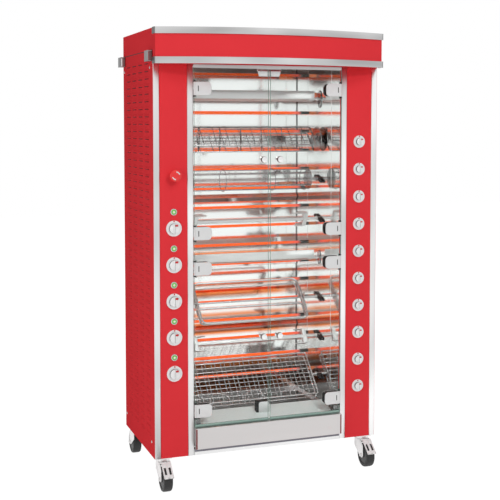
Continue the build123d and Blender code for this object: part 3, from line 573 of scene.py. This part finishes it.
def press_louvre(mesh, side, y, z):
    """One pressed louvre: a scoop that stands proud at its lower edge, with its slot below."""
    made = bmesh.ops.create_grid(mesh, x_segments=6, y_segments=3, size=0.5)
    verts = made["verts"]
    low = []
    for vert in verts:
        u, v = vert.co.x * 2, vert.co.y + 0.5
        proud = 4.2 * (1 - v ** 1.6) * (1 - abs(u) ** 5)
        vert.co = at(side * (SIDE + proud), y + 31 + 31 * u, z + 4 + 9 * v)
        if v < 0.01:
            low.append(vert)
    rim = [e for e in edges_of(low) if all(v in low for v in e.verts)]
    made = bmesh.ops.extrude_edge_only(mesh, edges=rim)
    inner = [v for v in made["geom"] if isinstance(v, bmesh.types.BMVert)]
    for vert in inner:
        vert.co.x = side * (SIDE + 0.1) / 1000
        vert.co.z -= 0.0035
    faces = faces_of(verts + inner)
    bmesh.ops.recalc_face_normals(mesh, faces=faces)
    if sum(f.normal.x for f in faces) * side < 0:
        bmesh.ops.reverse_faces(mesh, faces=faces)
    for face in faces:
        # The faces in each louvre's mouth take the painted shade.
        face.material_index = 1 if any(v in inner for v in face.verts) else 0


def side_panel(name, side):
    """The louvred sheet, its screws and dark strips of painted shade at the seam under the roof."""
    mesh = bmesh.new()
    slab(mesh, (side * (SIDE - 1.5), 1.5, 0), (side * SIDE, DEPTH, PANEL_TOP), 0.6, 2)
    rows, row_z, row_step = LOUVRE_ROWS
    columns, column_y, column_step = LOUVRE_COLUMNS
    for row in range(rows):
        for column in range(columns):
            press_louvre(mesh, side, column_y + column_step * column, row_z + row_step * row)
    for y, z in ((46, 1562), (483, 1562), (483, 60), (46, 60)):
        turned(mesh, [(0, 0), (5.5, 0), (5.5, 0.8), (4.125, 1.8), (0, 2.2)],
               (side * SIDE, y, z), (side, 0, 0), segments=14, kind=2)
    # Behind and over the seam under the roof: painted shade in the gap.
    for x0, x1, z0, z1 in ((SIDE - 4, SIDE - 1.7, PANEL_TOP - 6, PANEL_TOP + 8),
                           (SIDE - 0.5, SIDE + 0.25, PANEL_TOP - 0.6, PANEL_TOP + 2.6)):
        slab(mesh, (side * x0, 2, z0), (side * x1, DEPTH - 2, z1), kind=3)
    piece(name, mesh, "red_paint louvre_slot catch_plate gap_dark", "cabinet", (name,),
          50)


def column_trims():
    """The four folded column strips, the red returns beside the doors and the lintel."""
    mesh = bmesh.new()
    for side in (-1, 1):
        for low, high in ((461.5, SIDE), (OPENING, 348.5)):
            folded = [(low, 3), (low, 2.4), (low + 2.4, 0), (high - 2.4, 0), (high, 2.4), (high, 3)]
            prism(mesh, [(side * x, y) for x, y in folded], "z", 0, PANEL_TOP, 0.3, 1)
        slab(mesh, (side * OPENING, 2.5, 2), (side * 324, 14, 1600), 0.3, 1, kind=2)
    slab(mesh, (-OPENING, 0, 1562), (OPENING, 1.5, 1601.5), 0.4, 2, kind=1)
    piece("column_strips", mesh, "upright_steel lintel_steel red_paint", "cabinet",
          ("column_trims",))


def cavity_seams():
    """Painted shade in the slit where the reflector meets the side walls, drawn as a dark wire, and
    the pale wall seams.
    """
    mesh = bmesh.new()
    zone = (CAVITY_ROOF - CAVITY_FLOOR) / 5
    fold = [(484.2, CAVITY_FLOOR + 1)]
    for i in range(1, 5):
        z = CAVITY_FLOOR + zone * i
        fold += [(484.2, z - 17), (470.2, z), (484.2, z + 17)]
    fold.append((484.2, CAVITY_ROOF - 1))
    for side in (-1, 1):
        for (y0, z0), (y1, z1) in zip(fold, fold[1:]):
            bar(mesh, (side * 320.2, y0, z0), (side * 320.2, y1, z1), 1.5, segments=6)
        for y in (TUBE_Y + 9, 100):
            slab(mesh, (side * 321.9, y - 1.2, 118), (side * 322.5, y + 1.2, 1598), 0.2, 1, kind=1)
    piece("cavity_seams", mesh, "slit_dark seam_pale", "cabinet", ())


def heating_tubes():
    """The tubes with their ceramic ends; the topmost one is dim."""
    mesh = bmesh.new()
    for i in range(TUBES):
        z = FIRST_TUBE + TUBE_STEP * i
        bar(mesh, (-287.5, TUBE_Y, z), (287.5, TUBE_Y, z), 6, segments=20,
            kind=3 if i == TUBES - 1 else 0)
        for side in (-1, 1):
            slab(mesh, (side * 286.5, TUBE_Y - 6.5, z - 6.5),
                 (side * OPENING, TUBE_Y + 6.5, z + 6.5), 1.2, 2, kind=1)
            turned(mesh, [(0, 0), (8.2, 0), (8.2, 3), (6.2, 3.6), (0, 3.6)],
                   (side * 286.6, TUBE_Y, z), (-side, 0, 0), segments=20, kind=2)
    piece("quartz_tubes", mesh, "glowing_quartz ceramic tube_cap dim_quartz", "cabinet",
          ("heating_tubes",))


def drip_tray():
    """The tray's front with dark red strips of painted shade at its ends, and the folded tray
    behind it.
    """
    mesh = bmesh.new()
    slab(mesh, (-321, -22, 28), (321, -1, 114), 1.6, 3)
    for low, high in (((-312, -2, 28), (312, 429, 29.2)),
                      ((-312, -2, 28), (-310.8, 429, 104)), ((-312, -2, 102.8), (-306, 429, 104)),
                      ((312, -2, 28), (310.8, 429, 104)), ((312, -2, 102.8), (306, 429, 104)),
                      ((-312, 428.8, 28), (312, 430, 104))):
        slab(mesh, low, high, 0.3, 1, kind=1)
    for side in (-1, 1):
        # Dark red at the front's ends: painted shade of the gap beside the columns.
        slab(mesh, (side * 321.3, -22.4, 29.6), (side * 315.8, -20, 111), 0.3, 1, kind=2)
    piece("tray_drawer", mesh, "tray_steel tray_inside dark_red", "drip_tray", ("drip_tray",))


def sill_strip():
    """The seal strips on the sill, in the tint of the panes' edges, and a strip of painted shade
    for the lip's slot.
    """
    mesh = bmesh.new()
    for low, high, edge, kind in (((1.6, 115), (12.5, 116.4), 0.4, 0),
                                  ((-0.8, 108), (1.4, 117.4), 0.4, 0),
                                  ((12.7, 115.2), (14.5, 117), 0.4, 1),
                                  # The last strip is painted shade for the slot under the lip.
                                  ((-1.6, 13.5), (0.4, 23), 0.3, 2)):
        slab(mesh, (-321, *low), (321, *high), edge, 1, kind)
    piece("sill_strip", mesh, "sill_teal sill_light slot_grey", "cabinet", ())


def apron_sheet():
    """The satin face of the sloped apron behind the doors."""
    mesh = bmesh.new()
    slope, foot = 31 / 96, 14.6
    for start, end, rear in ((-294, 294, foot), (-294, -321.5, 56), (294, 321.5, 56)):
        near = 115.4 + (rear - foot) * slope
        far = 115.4 + 94.4 * slope
        prism(mesh, [(rear, near), (109, far), (109, far + 0.8), (rear, near + 0.8)],
              "x", start, end, 0.2, 1)
    piece("apron_sheet", mesh, "apron_steel", "cabinet", ())


side_panel("left_side_panel", -1)
side_panel("right_side_panel", 1)
apron_sheet()
column_trims()
cavity_seams()
heating_tubes()
drip_tray()
sill_strip()


# Spits


def drive_end(mesh, level, start, dog):
    """The shaft into the motor with its collar and, on most spits, a slanted black dog."""
    bar(mesh, (start, SPIT_Y, level), (343, SPIT_Y, level), 6)
    if dog:
        arm = slab(mesh, (310.5, SPIT_Y - 38, level - 5.5), (321.8, SPIT_Y + 38, level + 5.5),
                   2, 2, kind=1)
        twist(mesh, arm, (316, SPIT_Y, level), 19)
    turned(mesh, [(0, 0), (9, 0), (9, 5), (7, 7), (0, 7)], (310.5, SPIT_Y, level), (-1, 0, 0),
           segments=20)


def free_end(mesh, level, start):
    bar(mesh, (-335, SPIT_Y, level), (start, SPIT_Y, level), 5)
    turned(mesh, [(0, 0), (8, 0), (8, 4), (6, 5.5), (0, 5.5)], (start, SPIT_Y, level), (-1, 0, 0),
           segments=20)


def round_plate(mesh, x, level, radius):
    return turned(mesh, [(0, 0), (radius - 0.5, 0), (radius, 0.5), (radius, 2), (radius - 0.5, 2.5),
                         (0, 2.5)], (x, SPIT_Y, level), (1, 0, 0), segments=48, kind=2)


def spun(y, z, level, degrees):
    """Where y and z, taken from the spit's axis, come to lie after a turn."""
    a = math.radians(degrees)
    return (SPIT_Y + y * math.cos(a) - z * math.sin(a), level + y * math.sin(a) + z * math.cos(a))


def close_spit(name, mesh, level, left, right, finish, dog=True):
    """Kind 0 takes the spit's own finish, 1 the black dog's and 2 the darker end plates'."""
    drive_end(mesh, level, right, dog)
    free_end(mesh, level, left)
    piece(name + "_dressed", mesh, finish + " dog_black plate_steel", name, (name,),
          40)


def blade_spit(name, level, radius):
    mesh = bmesh.new()
    prism(mesh, [(SPIT_Y, level), (SPIT_Y + 18, level + 30), (SPIT_Y + 16, level + 30),
                 (SPIT_Y - 2.4, level), (SPIT_Y + 13, level - 22), (SPIT_Y + 15, level - 22)],
          "x", -296, 296, 0.5, 1)
    twist(mesh, mesh.verts[:], (0, SPIT_Y, level), 31)
    for x, across in ((318.5, radius - 4), (-298.5, 30)):
        plate = round_plate(mesh, x, level, across)
        bmesh.ops.scale(mesh, vec=(1, 0.5, 1), space=Matrix.Translation(-at(x, SPIT_Y, level)),
                        verts=plate)
    for side in (-1, 1):
        bar(mesh, (side * 270, SPIT_Y + 6, level), (side * 296, SPIT_Y + 6, level), 8)
    close_spit(name, mesh, level, -296, 296, "blade_steel", False)


def fork_spit(name, level, turn):
    mesh = bmesh.new()
    slab(mesh, (-262, SPIT_Y - 7, level - 7), (262, SPIT_Y + 7, level + 7), 1.2, 2)
    for side in (-1, 1):
        x = side * 250
        slab(mesh, (x - 9, SPIT_Y - 11, level - 31), (x + 9, SPIT_Y + 11, level + 31), 2, 3)
        bar(mesh, (x, SPIT_Y - 16, level), (x, SPIT_Y - 10, level), 4.5)
        for z in (-31, 31):
            slab(mesh, (x, SPIT_Y - 12, level + z - 1.5),
                 (x - side * 34, SPIT_Y + 12, level + z + 1.5), 0.7, 2)
            prism(mesh, [(x - side * 33, level + z - 1.5), (x - side * 46, level + z - 1),
                         (x - side * 46, level + z + 1), (x - side * 33, level + z + 1.5)],
                  "y", SPIT_Y - 9, SPIT_Y + 2, 0.4, 1)
    twist(mesh, mesh.verts[:], (0, SPIT_Y, level), turn)
    close_spit(name, mesh, level, -262, 262, "blade_steel")


def grid_basket(level, half_width, half_depth, turn, runs, crosses):
    """Two grids of wire with plates at their ends, and the function that places more wires."""
    mesh = bmesh.new()
    reach = 287
    w = half_width - 3

    def spot(x, y, z):
        return (x, *spun(y, z, level, turn))

    for side in (-1, 1):
        z = side * half_depth
        wire(mesh, [spot(-reach + 3, -w, z), spot(reach - 3, -w, z), spot(reach - 3, w, z),
                    spot(-reach + 3, w, z)], 3, True, 9, fine=2)
        run_z = z + side * 5
        cross_z = run_z + side * 3.6
        for i in range(runs):
            y = w * ((2 * i + 2) / (runs + 1) - 1)
            wire(mesh, [spot(3 - reach, y, z + side * 1.5), spot(12 - reach, y, run_z),
                        spot(reach - 12, y, run_z), spot(reach - 3, y, z + side * 1.5)], 1.2,
                 corner=4)
        for i in range(crosses):
            x = (reach - 3) * ((2 * i + 2) / (crosses + 1) - 1)
            wire(mesh, [spot(x, -w, z + side * 2), spot(x, 8 - w, cross_z), spot(x, w - 8, cross_z),
                        spot(x, w, z + side * 2)], 1.5, corner=4)
    for end in (-reach, reach - 2.5):
        plate = slab(mesh, (end, SPIT_Y - 16, level - half_depth + 1),
                     (end + 2.5, SPIT_Y + 16, level + half_depth - 1), 0.5, 1)
        twist(mesh, plate, (end, SPIT_Y, level), turn)
    return mesh, spot


def drum_spit(level, radius, rods):
    """Rods on a circle between two discs, with three hoops."""
    mesh = bmesh.new()
    reach = 265
    for i in range(rods):
        y, z = spun(radius, 0, level, 360 * i / rods)
        bar(mesh, (-reach, y, z), (reach, y, z), 2, segments=10)
    for x in (-126, 97, 247):
        wire(mesh, [(x, *spun(radius + 3.6, 0, level, 15 * i)) for i in range(24)], 1.6, True, 0.1)
    for x in (-reach - 2.5, reach):
        round_plate(mesh, x, level, radius + 1.5)
    return mesh


def cage_spit(level, turn):
    """Three loops of thick wire joined by cross plates."""
    mesh = bmesh.new()
    reach = 240

    def loop(low, high, offset, corner):
        places = [(x, *spun(offset, across, level, turn))
                  for x, across in ((-reach, low), (reach, low), (reach, high), (-reach, high))]
        wire(mesh, places, 4.3, True, corner, fine=2)

    loop(-103, 103, 0, 26)
    loop(-93, -14, 22, 16)
    loop(14, 93, 22, 16)
    for side in (-1, 1):
        x = side * 243
        for low, high in (((-26, -9), (26, 9)), ((-8, -60), (8, 60)), ((18, -45), (26, 45))):
            plate = slab(mesh, (x, SPIT_Y + low[0], level + low[1]),
                         (x + side * 3, SPIT_Y + high[0], level + high[1]), 0.8, 2)
            twist(mesh, plate, (x, SPIT_Y, level), turn)
    return mesh


TOP_BLADE, SMALL_BASKET, DRUM, TOP_FORK, LOW_BLADE, CAGE, LOW_FORK, LARGE_BASKET = SPIT_LEVELS
blade_spit("spit_1_blade", TOP_BLADE, 42)
blade_spit("spit_5_blade", LOW_BLADE, 34)
fork_spit("spit_4_fork", TOP_FORK, 25)
fork_spit("spit_7_fork", LOW_FORK, -25)

mesh, spot = grid_basket(SMALL_BASKET, 56, 20, 45, 5, 9)
round_plate(mesh, 306, SMALL_BASKET, 53)
for x in range(-235, 236, 94):
    wire(mesh, [spot(x - 20, -52, 26), spot(x + 6, 52, 26), spot(x + 22, 54, -20),
                spot(x - 4, -52, -26)], 1.8, True, 10)
close_spit("spit_2_basket", mesh, SMALL_BASKET, -287, 287, "wire_dark")

close_spit("spit_3_drum", drum_spit(DRUM, 44, 10), DRUM, -267.5, 267.5, "wire_dark")
close_spit("spit_6_cage", cage_spit(CAGE, -45), CAGE, -246, 246, "wire_light")

mesh, spot = grid_basket(LARGE_BASKET, 107, 14, 45, 9, 12)
for x in (-150, 8):
    wire(mesh, [spot(x - 52, -104, -24), spot(x - 34, -40, -26), spot(x + 34, -40, -26),
                spot(x + 52, -104, -24)], 2.8, corner=30)
close_spit("spit_8_basket", mesh, LARGE_BASKET, -287, 287, "wire_light")


# Doors


def door(row, hand, s, low, high):
    """A pane with its clamp hinges and round knob; s is -1 on the left and 1 on the right."""
    node = f"{row}_{hand}"
    body = node + "_door"
    hinges = HINGES[row]

    mesh = bmesh.new()
    outline = [(s * 4, low), (s * 4, high), (s * 320.5, high)]
    for z in sorted(hinges, reverse=True):
        outline += [(s * 320.5, z + 34.8), (s * 312.5, z + 34.8), (s * 312.5, z - 34.8),
                    (s * 320.5, z - 34.8)]
    outline.append((s * 320.5, low))
    pane = prism(mesh, outline, "y", -5, 1, 0.7, 1)
    for face in faces_of(pane):
        if abs(face.normal.y) < 0.9:
            face.material_index = 1
    if row == "lower":
        slab(mesh, (s * 4.4, -5.4, low), (s * 320, 1.4, low + 8), 0.4, 1, kind=1)
    piece(node + "_pane", mesh, "door_glass glass_edge", body, (node + "_glass",),
          20)

    mesh = bmesh.new()
    for z in hinges:
        z0, z1 = z - 26.5, z + 26.5
        front = rounded_box(s * 316.5, z0, s * 249.5, z1, (3, 16, 16, 3))
        gasket = rounded_box(s * 313, z0 + 2, s * 248.5, z1 - 2, (2, 16, 16, 2))
        rear = rounded_box(s * 311, z0 + 1, s * 249.5, z1 - 1, (2, 16, 16, 2))
        for layer, start, end, edge, kind in (
                (front, -9, -6, 0.9, 0), (gasket, -6, -5, 0, 1), (gasket, 1, 2, 0, 1),
                (rear, 2, 24, 1.2, 1), (rear, 24, 26, 0.6, 0)):
            prism(mesh, layer, "y", start, end, edge, 2, kind)
        bar(mesh, (s * PIN_X, PIN_Y, z0), (s * PIN_X, PIN_Y, z1), 4.5, segments=20)
        slab(mesh, (s * 317, -8, z0), (s * 313, 2, z1), 0.6, 1)
        slab(mesh, (s * 306, -9.4, z - 11), (s * 302.6, -8.8, z + 11), 0.2, 1, kind=1)
        for dz in (-12, 12):
            turned(mesh, [(0, 0), (3.4, 0), (3.2, 0.5), (0, 0.6)], (s * 268, -8.9, z + dz),
                   (0, -1, 0), segments=16)
    middle = (low + high) / 2
    round_knob = turned(mesh, [(0, 0), (9, 0), (9, 2), (5, 3), (5, 24), (8.5, 26), (12.4, 28.5),
                               (13, 31), (13, 40), (11.8, 42.4), (8, 43.6), (0, 44)],
                        (s * 35, 3, middle), (0, -1, 0), segments=40, kind=2)
    # The round knob's sides take a darker copy of the chrome: painted shade.
    for face in faces_of(round_knob):
        if abs(face.normal.y) < 0.75:
            face.material_index = 3
    piece(node + "_hinges_and_knob", mesh, "hinge_steel gasket_rubber chrome knob_rim", body,
          (node + "_door_fittings",))


for row, low, high in (("upper", 832, 1560), ("lower", 118, 826)):
    door(row, "left", -1, low, high)
    door(row, "right", 1, low, high)


def frame_fittings():
    """Hinge ears and pins, the corner rests, the top catch with a line of painted shade under the
    lintel, and the middle stop.
    """
    mesh = bmesh.new()
    for side in (-1, 1):
        for z in HINGES["upper"] + HINGES["lower"]:
            bar(mesh, (side * PIN_X, PIN_Y, z - 26.8), (side * PIN_X, PIN_Y, z + 26.8), 2.5)
            for z0 in (z - 32.8, z + 26.8):
                slab(mesh, (side * 314.5, -5.5, z0), (side * OPENING, 3.5, z0 + 6), 0.8, 2, kind=1)
        prism(mesh, [(4, 115), (14, 115), (55, 128.24), (55, 147), (4, 147)], "x",
              side * 295.5, side * OPENING, 1.2, 2, kind=3)
    catch = prism(mesh, [(-53, 1558), (53, 1558), (44, 1532), (-44, 1532)], "y", 1.5, 4.5, 0.8, 2)
    paint(catch, 2)
    slab(mesh, (-53, 1.5, 1558), (53, 4.5, 1570), 0.6, 1, kind=2)
    # A dark red line of painted shade on the catch, under the lintel.
    slab(mesh, (-50, 1.0, 1556), (50, 1.6, 1560), 0.2, 1, kind=4)
    plate = rounded_box(-23, 176, 23, 129.9, (9, 9, 2, 2))
    prism(mesh, plate, "y", 57, 60, 0.9, 2)
    prism(mesh, [(60, 129.86), (82, 136.96), (82, 179), (60, 179)], "x", -34, 22, 3, 3, kind=1)
    piece("door_frame_pieces", mesh, "hinge_steel gasket_rubber catch_plate rest_grey dark_red",
          "cabinet", ("door_frame_fittings",))


frame_fittings()


# Controls


def knob(name, x, z, radius, core):
    """Skirt, raised core with a finger ridge, a red dot on the skirt and a red inlay; painted shade
    lies on the core's side and down the ridge.
    """
    mesh = bmesh.new()
    turned(mesh, [(0, 0), (radius - 0.6, 0), (radius, 0.8), (radius, 4.6), (radius - 1.2, 6),
                  (core + 1.6, 6), (core + 0.8, 5.2), (core, 5.6), (core, 14.2),
                  (core - 1.2, 15.2), (0, 15.4)], (x, 1.1, z), (0, -1, 0), segments=48)
    for face in mesh.faces:
        spot = face.calc_center_median()
        off = math.hypot(spot.x - x / 1000, spot.z - z / 1000 - UNDERSIDE) * 1000
        if abs(face.normal.y) < 0.5 and abs(off - core) < 0.6:
            face.material_index = 1
    slab(mesh, (x - 4.5, -18.9, z - core + 0.8), (x + 4.5, -13, z + core - 0.8), 1.2, 3, kind=2)
    slab(mesh, (x - 0.7, -19.1, z - core + 1.4), (x + 0.7, -18.4, z + core - 1.4), kind=1)
    bar(mesh, (x, -4.7, z + radius - 3.6), (x, -5.3, z + radius - 3.6), 3, kind=3)
    inlay = rounded_box(x + 0.8, z + core * 0.44, x + core * 0.62, z + core * 0.78, (1, 1, 1, 1), 3)
    prism(mesh, inlay, "y", -14.6, -19.2, kind=3)
    bar(mesh, (x, 1.2, z), (x, 2.6, z), 3, segments=12)
    piece(name + "_dressed", mesh, "knob_silver knob_shade knob_core red_mark", name, (name,),
          30)


for name, x, (count, first, step), radius, core in (("zone_knob", -COLUMN, ZONE_KNOBS, 32, 20.5),
                                                    ("motor_knob", COLUMN, MOTOR_KNOBS, 26, 15.5)):
    for i in range(count):
        knob(f"{name}_{i + 1}", x, first + step * i, radius, core)


def lamps():
    """The pilot lamps over the zone knobs, and the stop button's collar."""
    mesh = bmesh.new()
    count, first, step = ZONE_KNOBS
    for i in range(count):
        z = first + step * i + LAMP_RISE
        turned(mesh, [(0, -1.4), (13.4, -1.4), (13.5, 1.6), (12.6, 2.6), (10.8, 2.7), (10, 1.6),
                      (0, 1.6)], (-COLUMN, 0, z), (0, -1, 0), segments=40)
        turned(mesh, [(0, 1.6), (9.9, 1.6), (9.4, 3.2), (6.5, 4.4), (0, 4.9)], (-COLUMN, 0, z),
               (0, -1, 0), segments=32, kind=1)
        # The pale disc on each lens is a painted glow.
        turned(mesh, [(0, 4.5), (4.6, 4.45), (4.2, 4.95), (0, 5.1)], (-COLUMN, 0, z), (0, -1, 0),
               segments=24, kind=2)
    turned(mesh, [(8.4, -1.5), (15, -1.5), (15, 6), (14, 7), (9.4, 7), (8.4, 6), (8.4, -1.5)],
           (-COLUMN, 0, STOP_LEVEL), (0, -1, 0), segments=40, kind=3)
    piece("lamps_and_collar", mesh, "lamp_bezel lamp_lens lamp_glow stop_red", "cabinet",
          ("indicator_lamps",))


lamps()


def stop_button():
    """The red mushroom head with two white arcs, on its plunger."""
    mesh = bmesh.new()
    turned(mesh, [(0, -20), (8, -20), (8, 22), (20, 23.2), (23.8, 25.4), (24.5, 28.4), (23.4, 32.4),
                  (19, 35.6), (11, 37.6), (0, 38)], (-COLUMN, 0, STOP_LEVEL), (0, -1, 0),
           segments=48)
    for start in (20, 200):
        turns = [math.radians(start + 11 * step) for step in range(7)]
        wire(mesh, [(-COLUMN + 15 * math.cos(a), -36.2, STOP_LEVEL + 15 * math.sin(a))
                    for a in turns], 2.4, corner=0.1, kind=1)
    piece("stop_mushroom", mesh, "stop_red white_mark", "stop_button", ("stop_button",))


stop_button()


# Casters


def caster(corner, x, y, ahead):
    """The fork, the wheel and, in front, the brake pedal; ahead is -1 in front, 1 at the back."""
    wheel_y = y + ahead * 40

    mesh = bmesh.new()
    turned(mesh, [(6.3, 0), (26, 0), (27, 1), (27, 10.5), (25, 12), (6.3, 12), (6.3, 0)],
           (x, y, -4.3), (0, 0, -1), segments=40)
    bar(mesh, (x, y, -15), (x, y, -18.5), 9, segments=6)
    heel = y - ahead * 27
    outline = [(heel, -16.3), (heel, -52.3), (wheel_y - ahead * 15, -88),
               (wheel_y + ahead * 7, -90), (wheel_y + ahead * 15, -80),
               (wheel_y + ahead * 13, -38), (y + ahead * 31, -16.3)]
    for side in (-1, 1):
        prism(mesh, outline, "x", x + side * 20.5, x + side * 23.5, 1.1, 2)
        turned(mesh, [(0, 0), (9.5, 0), (9.5, 0.8), (7.5, 1), (7.2, 4), (5, 4.6), (5, 6.5),
                      (0, 6.8)], (x + side * 23.4, wheel_y, AXLE), (side, 0, 0), segments=6)
    slab(mesh, (x - 23.5, heel, -19.3), (x + 23.5, y + ahead * 21, -16.3), 1, 2)
    bar(mesh, (x - 20.5, wheel_y, AXLE), (x + 20.5, wheel_y, AXLE), 5)
    piece(corner + "_fork_dressed", mesh, "caster_zinc", corner + "_fork", (corner + "_fork",))

    mesh = bmesh.new()
    turned(mesh, [(5.4, -19), (12, -19), (13, -17), (34, -15.5), (36, -17.5), (43, -18.6),
                  (47.5, -17.2), (49.6, -13.5), (50, -8), (50, 8), (49.6, 13.5), (47.5, 17.2),
                  (43, 18.6), (36, 17.5), (34, 15.5), (13, 17), (12, 19), (5.4, 19), (5.4, -19)],
           (x, wheel_y, AXLE), (1, 0, 0), segments=64)
    for face in mesh.faces:
        spot = face.calc_center_median() - at(x, wheel_y, AXLE)
        if math.hypot(spot.y, spot.z) < 0.0345:
            face.material_index = 1
    piece(corner + "_wheel_dressed", mesh, "wheel_black hub_grey", corner + "_wheel",
          (corner + "_wheel",))

    if ahead > 0:
        return
    mesh = bmesh.new()
    pin_y, pin_z = y - 26, -24

    def from_pin(*places):
        return [(pin_y + along, pin_z + up) for along, up in places]

    strip = from_pin((0, 0), (-2, 3), (-17, 12), (-69, -32), (-72, -38), (-69, -38), (-66, -34),
                     (-16, 8))
    for x0, x1 in ((-20, -14), (-5, 5), (14, 20)):
        prism(mesh, strip, "x", x + x0, x + x1, 0.9, 2)
    upper = from_pin((0, 0), (-2, 3), (-17, 12), (-34, -2.4), (-33, -6.4), (-16, 8))
    lower = from_pin((-60, -24.4), (-69, -32), (-72, -38), (-69, -38), (-66, -34), (-59, -28))
    for plate in (upper, lower):
        prism(mesh, plate, "x", x - 19.5, x + 19.5, 0.6, 1)
    for half, radius in ((20, 4.5), (23.5, 3)):
        bar(mesh, (x - half, pin_y, pin_z), (x + half, pin_y, pin_z), radius)
    piece(corner + "_pedal", mesh, "pedal_grey", corner + "_brake", (corner + "_brake",))


for corner, x, y, ahead in (("front_left", -445.5, 33, -1), ("front_right", 445.5, 33, -1),
                            ("rear_left", -445.5, 472, 1), ("rear_right", 445.5, 472, 1)):
    caster(corner, x, y, ahead)


# Studio


def studio():
    """A white room: full white where it is looked at, dimmer as a light for rough surfaces."""
    world = bpy.data.worlds.new("studio")
    bpy.context.scene.world = world
    world.use_nodes = True
    tree = world.node_tree
    path = add(tree, "LightPath").outputs
    looked_at = calc(tree, "MAXIMUM", path["Is Camera Ray"], path["Is Transmission Ray"])
    # In reflections the studio is white in front and dimmer behind.
    ahead = add(tree, "VectorMath", {0: add(tree, "TexCoord").outputs["Generated"],
                                     1: (0.25, -0.97, 0.0)}, operation="DOT_PRODUCT")
    bounced = calc(tree, "ADD", path["Glossy Depth"], path["Diffuse Depth"], clamp=True)
    strength = add(tree, "Mix", {
        "Factor": calc(tree, "MULTIPLY", bounced, path["Is Glossy Ray"]),
        "A": ranged(tree, looked_at, 0, 1, 0.37, 1.0),
        "B": ranged(tree, ahead.outputs["Value"], -0.6, 0.4, 0.55, 1.0)})
    fill(tree, tree.nodes["Background"], {"Color": tone(1), "Strength": strength.outputs["Result"]})

    mesh = bmesh.new()
    bmesh.ops.create_grid(mesh, x_segments=1, y_segments=1, size=12)
    data = bpy.data.meshes.new("floor")
    mesh.to_mesh(data)
    mesh.free()
    floor = placed("floor", data)
    floor.location.z = -0.001
    tree, shader = new_material("studio_floor")
    data.materials.append(FINISHES["studio_floor"])
    fill(tree, shader, {"Base Color": tone(0.94), "Roughness": 0.9, "Specular IOR Level": 0.0})
    path = add(tree, "LightPath").outputs
    seen = calc(tree, "MAXIMUM", path["Is Camera Ray"], path["Is Glossy Ray"])
    seen = calc(tree, "MAXIMUM", seen, path["Is Transmission Ray"])
    surface_of_two(tree, calc(tree, "MULTIPLY", seen, 0.8), shader,
                   add(tree, "Emission", {"Strength": 1.2}))

    for name, place, aim, width, height, power in (
            ("key", (1.3, -7.0, 4.7), (0, 0, 0.9), 0.6, 0.6, 112),
            ("top", (0.3, -3.4, 4.4), (0, 0, 0.4), 2.6, 1.2, 34),
            ("fill", (-4.5, -3.0, 1.1), (0, 0, 0.8), 2.4, 2.6, 56),
            ("back", (3.6, 4.0, 2.6), (0, 0, 0.9), 2.6, 2.6, 70)):
        lamp = bpy.data.lights.new(name, "AREA")
        lamp.shape = "RECTANGLE"
        lamp.size, lamp.size_y = width, height
        lamp.energy = power
        holder = placed(name, lamp)
        holder.location = place
        holder.rotation_euler = (Vector(aim) - Vector(place)).to_track_quat("-Z", "Y").to_euler()
        holder.visible_glossy = False


studio()


def camera():
    """The photograph's view, solved from the cabinet's own edges."""
    # In pixels: the picture's size, the focal length and where the lens's axis meets the picture.
    pixels, focal, axis_x, axis_y = 500, 1021.46, 247.57, 188.89
    yaw, pitch = math.radians(19.82), math.radians(3.694)
    lens = bpy.data.cameras.new("camera")
    lens.sensor_width = 36
    lens.lens = focal / pixels * lens.sensor_width
    lens.shift_x = (pixels / 2 - axis_x) / pixels
    lens.shift_y = (axis_y - pixels / 2) / pixels
    lens.clip_start, lens.clip_end = 0.1, 60
    holder = placed("camera", lens)
    holder.location = at(-1009.8 - SIDE, -3893.4, 1343.8)
    holder.rotation_euler = (math.pi / 2 - pitch, 0, -yaw)
    bpy.context.scene.camera = holder


camera()
bpy.context.scene.view_settings.view_transform = "Standard"
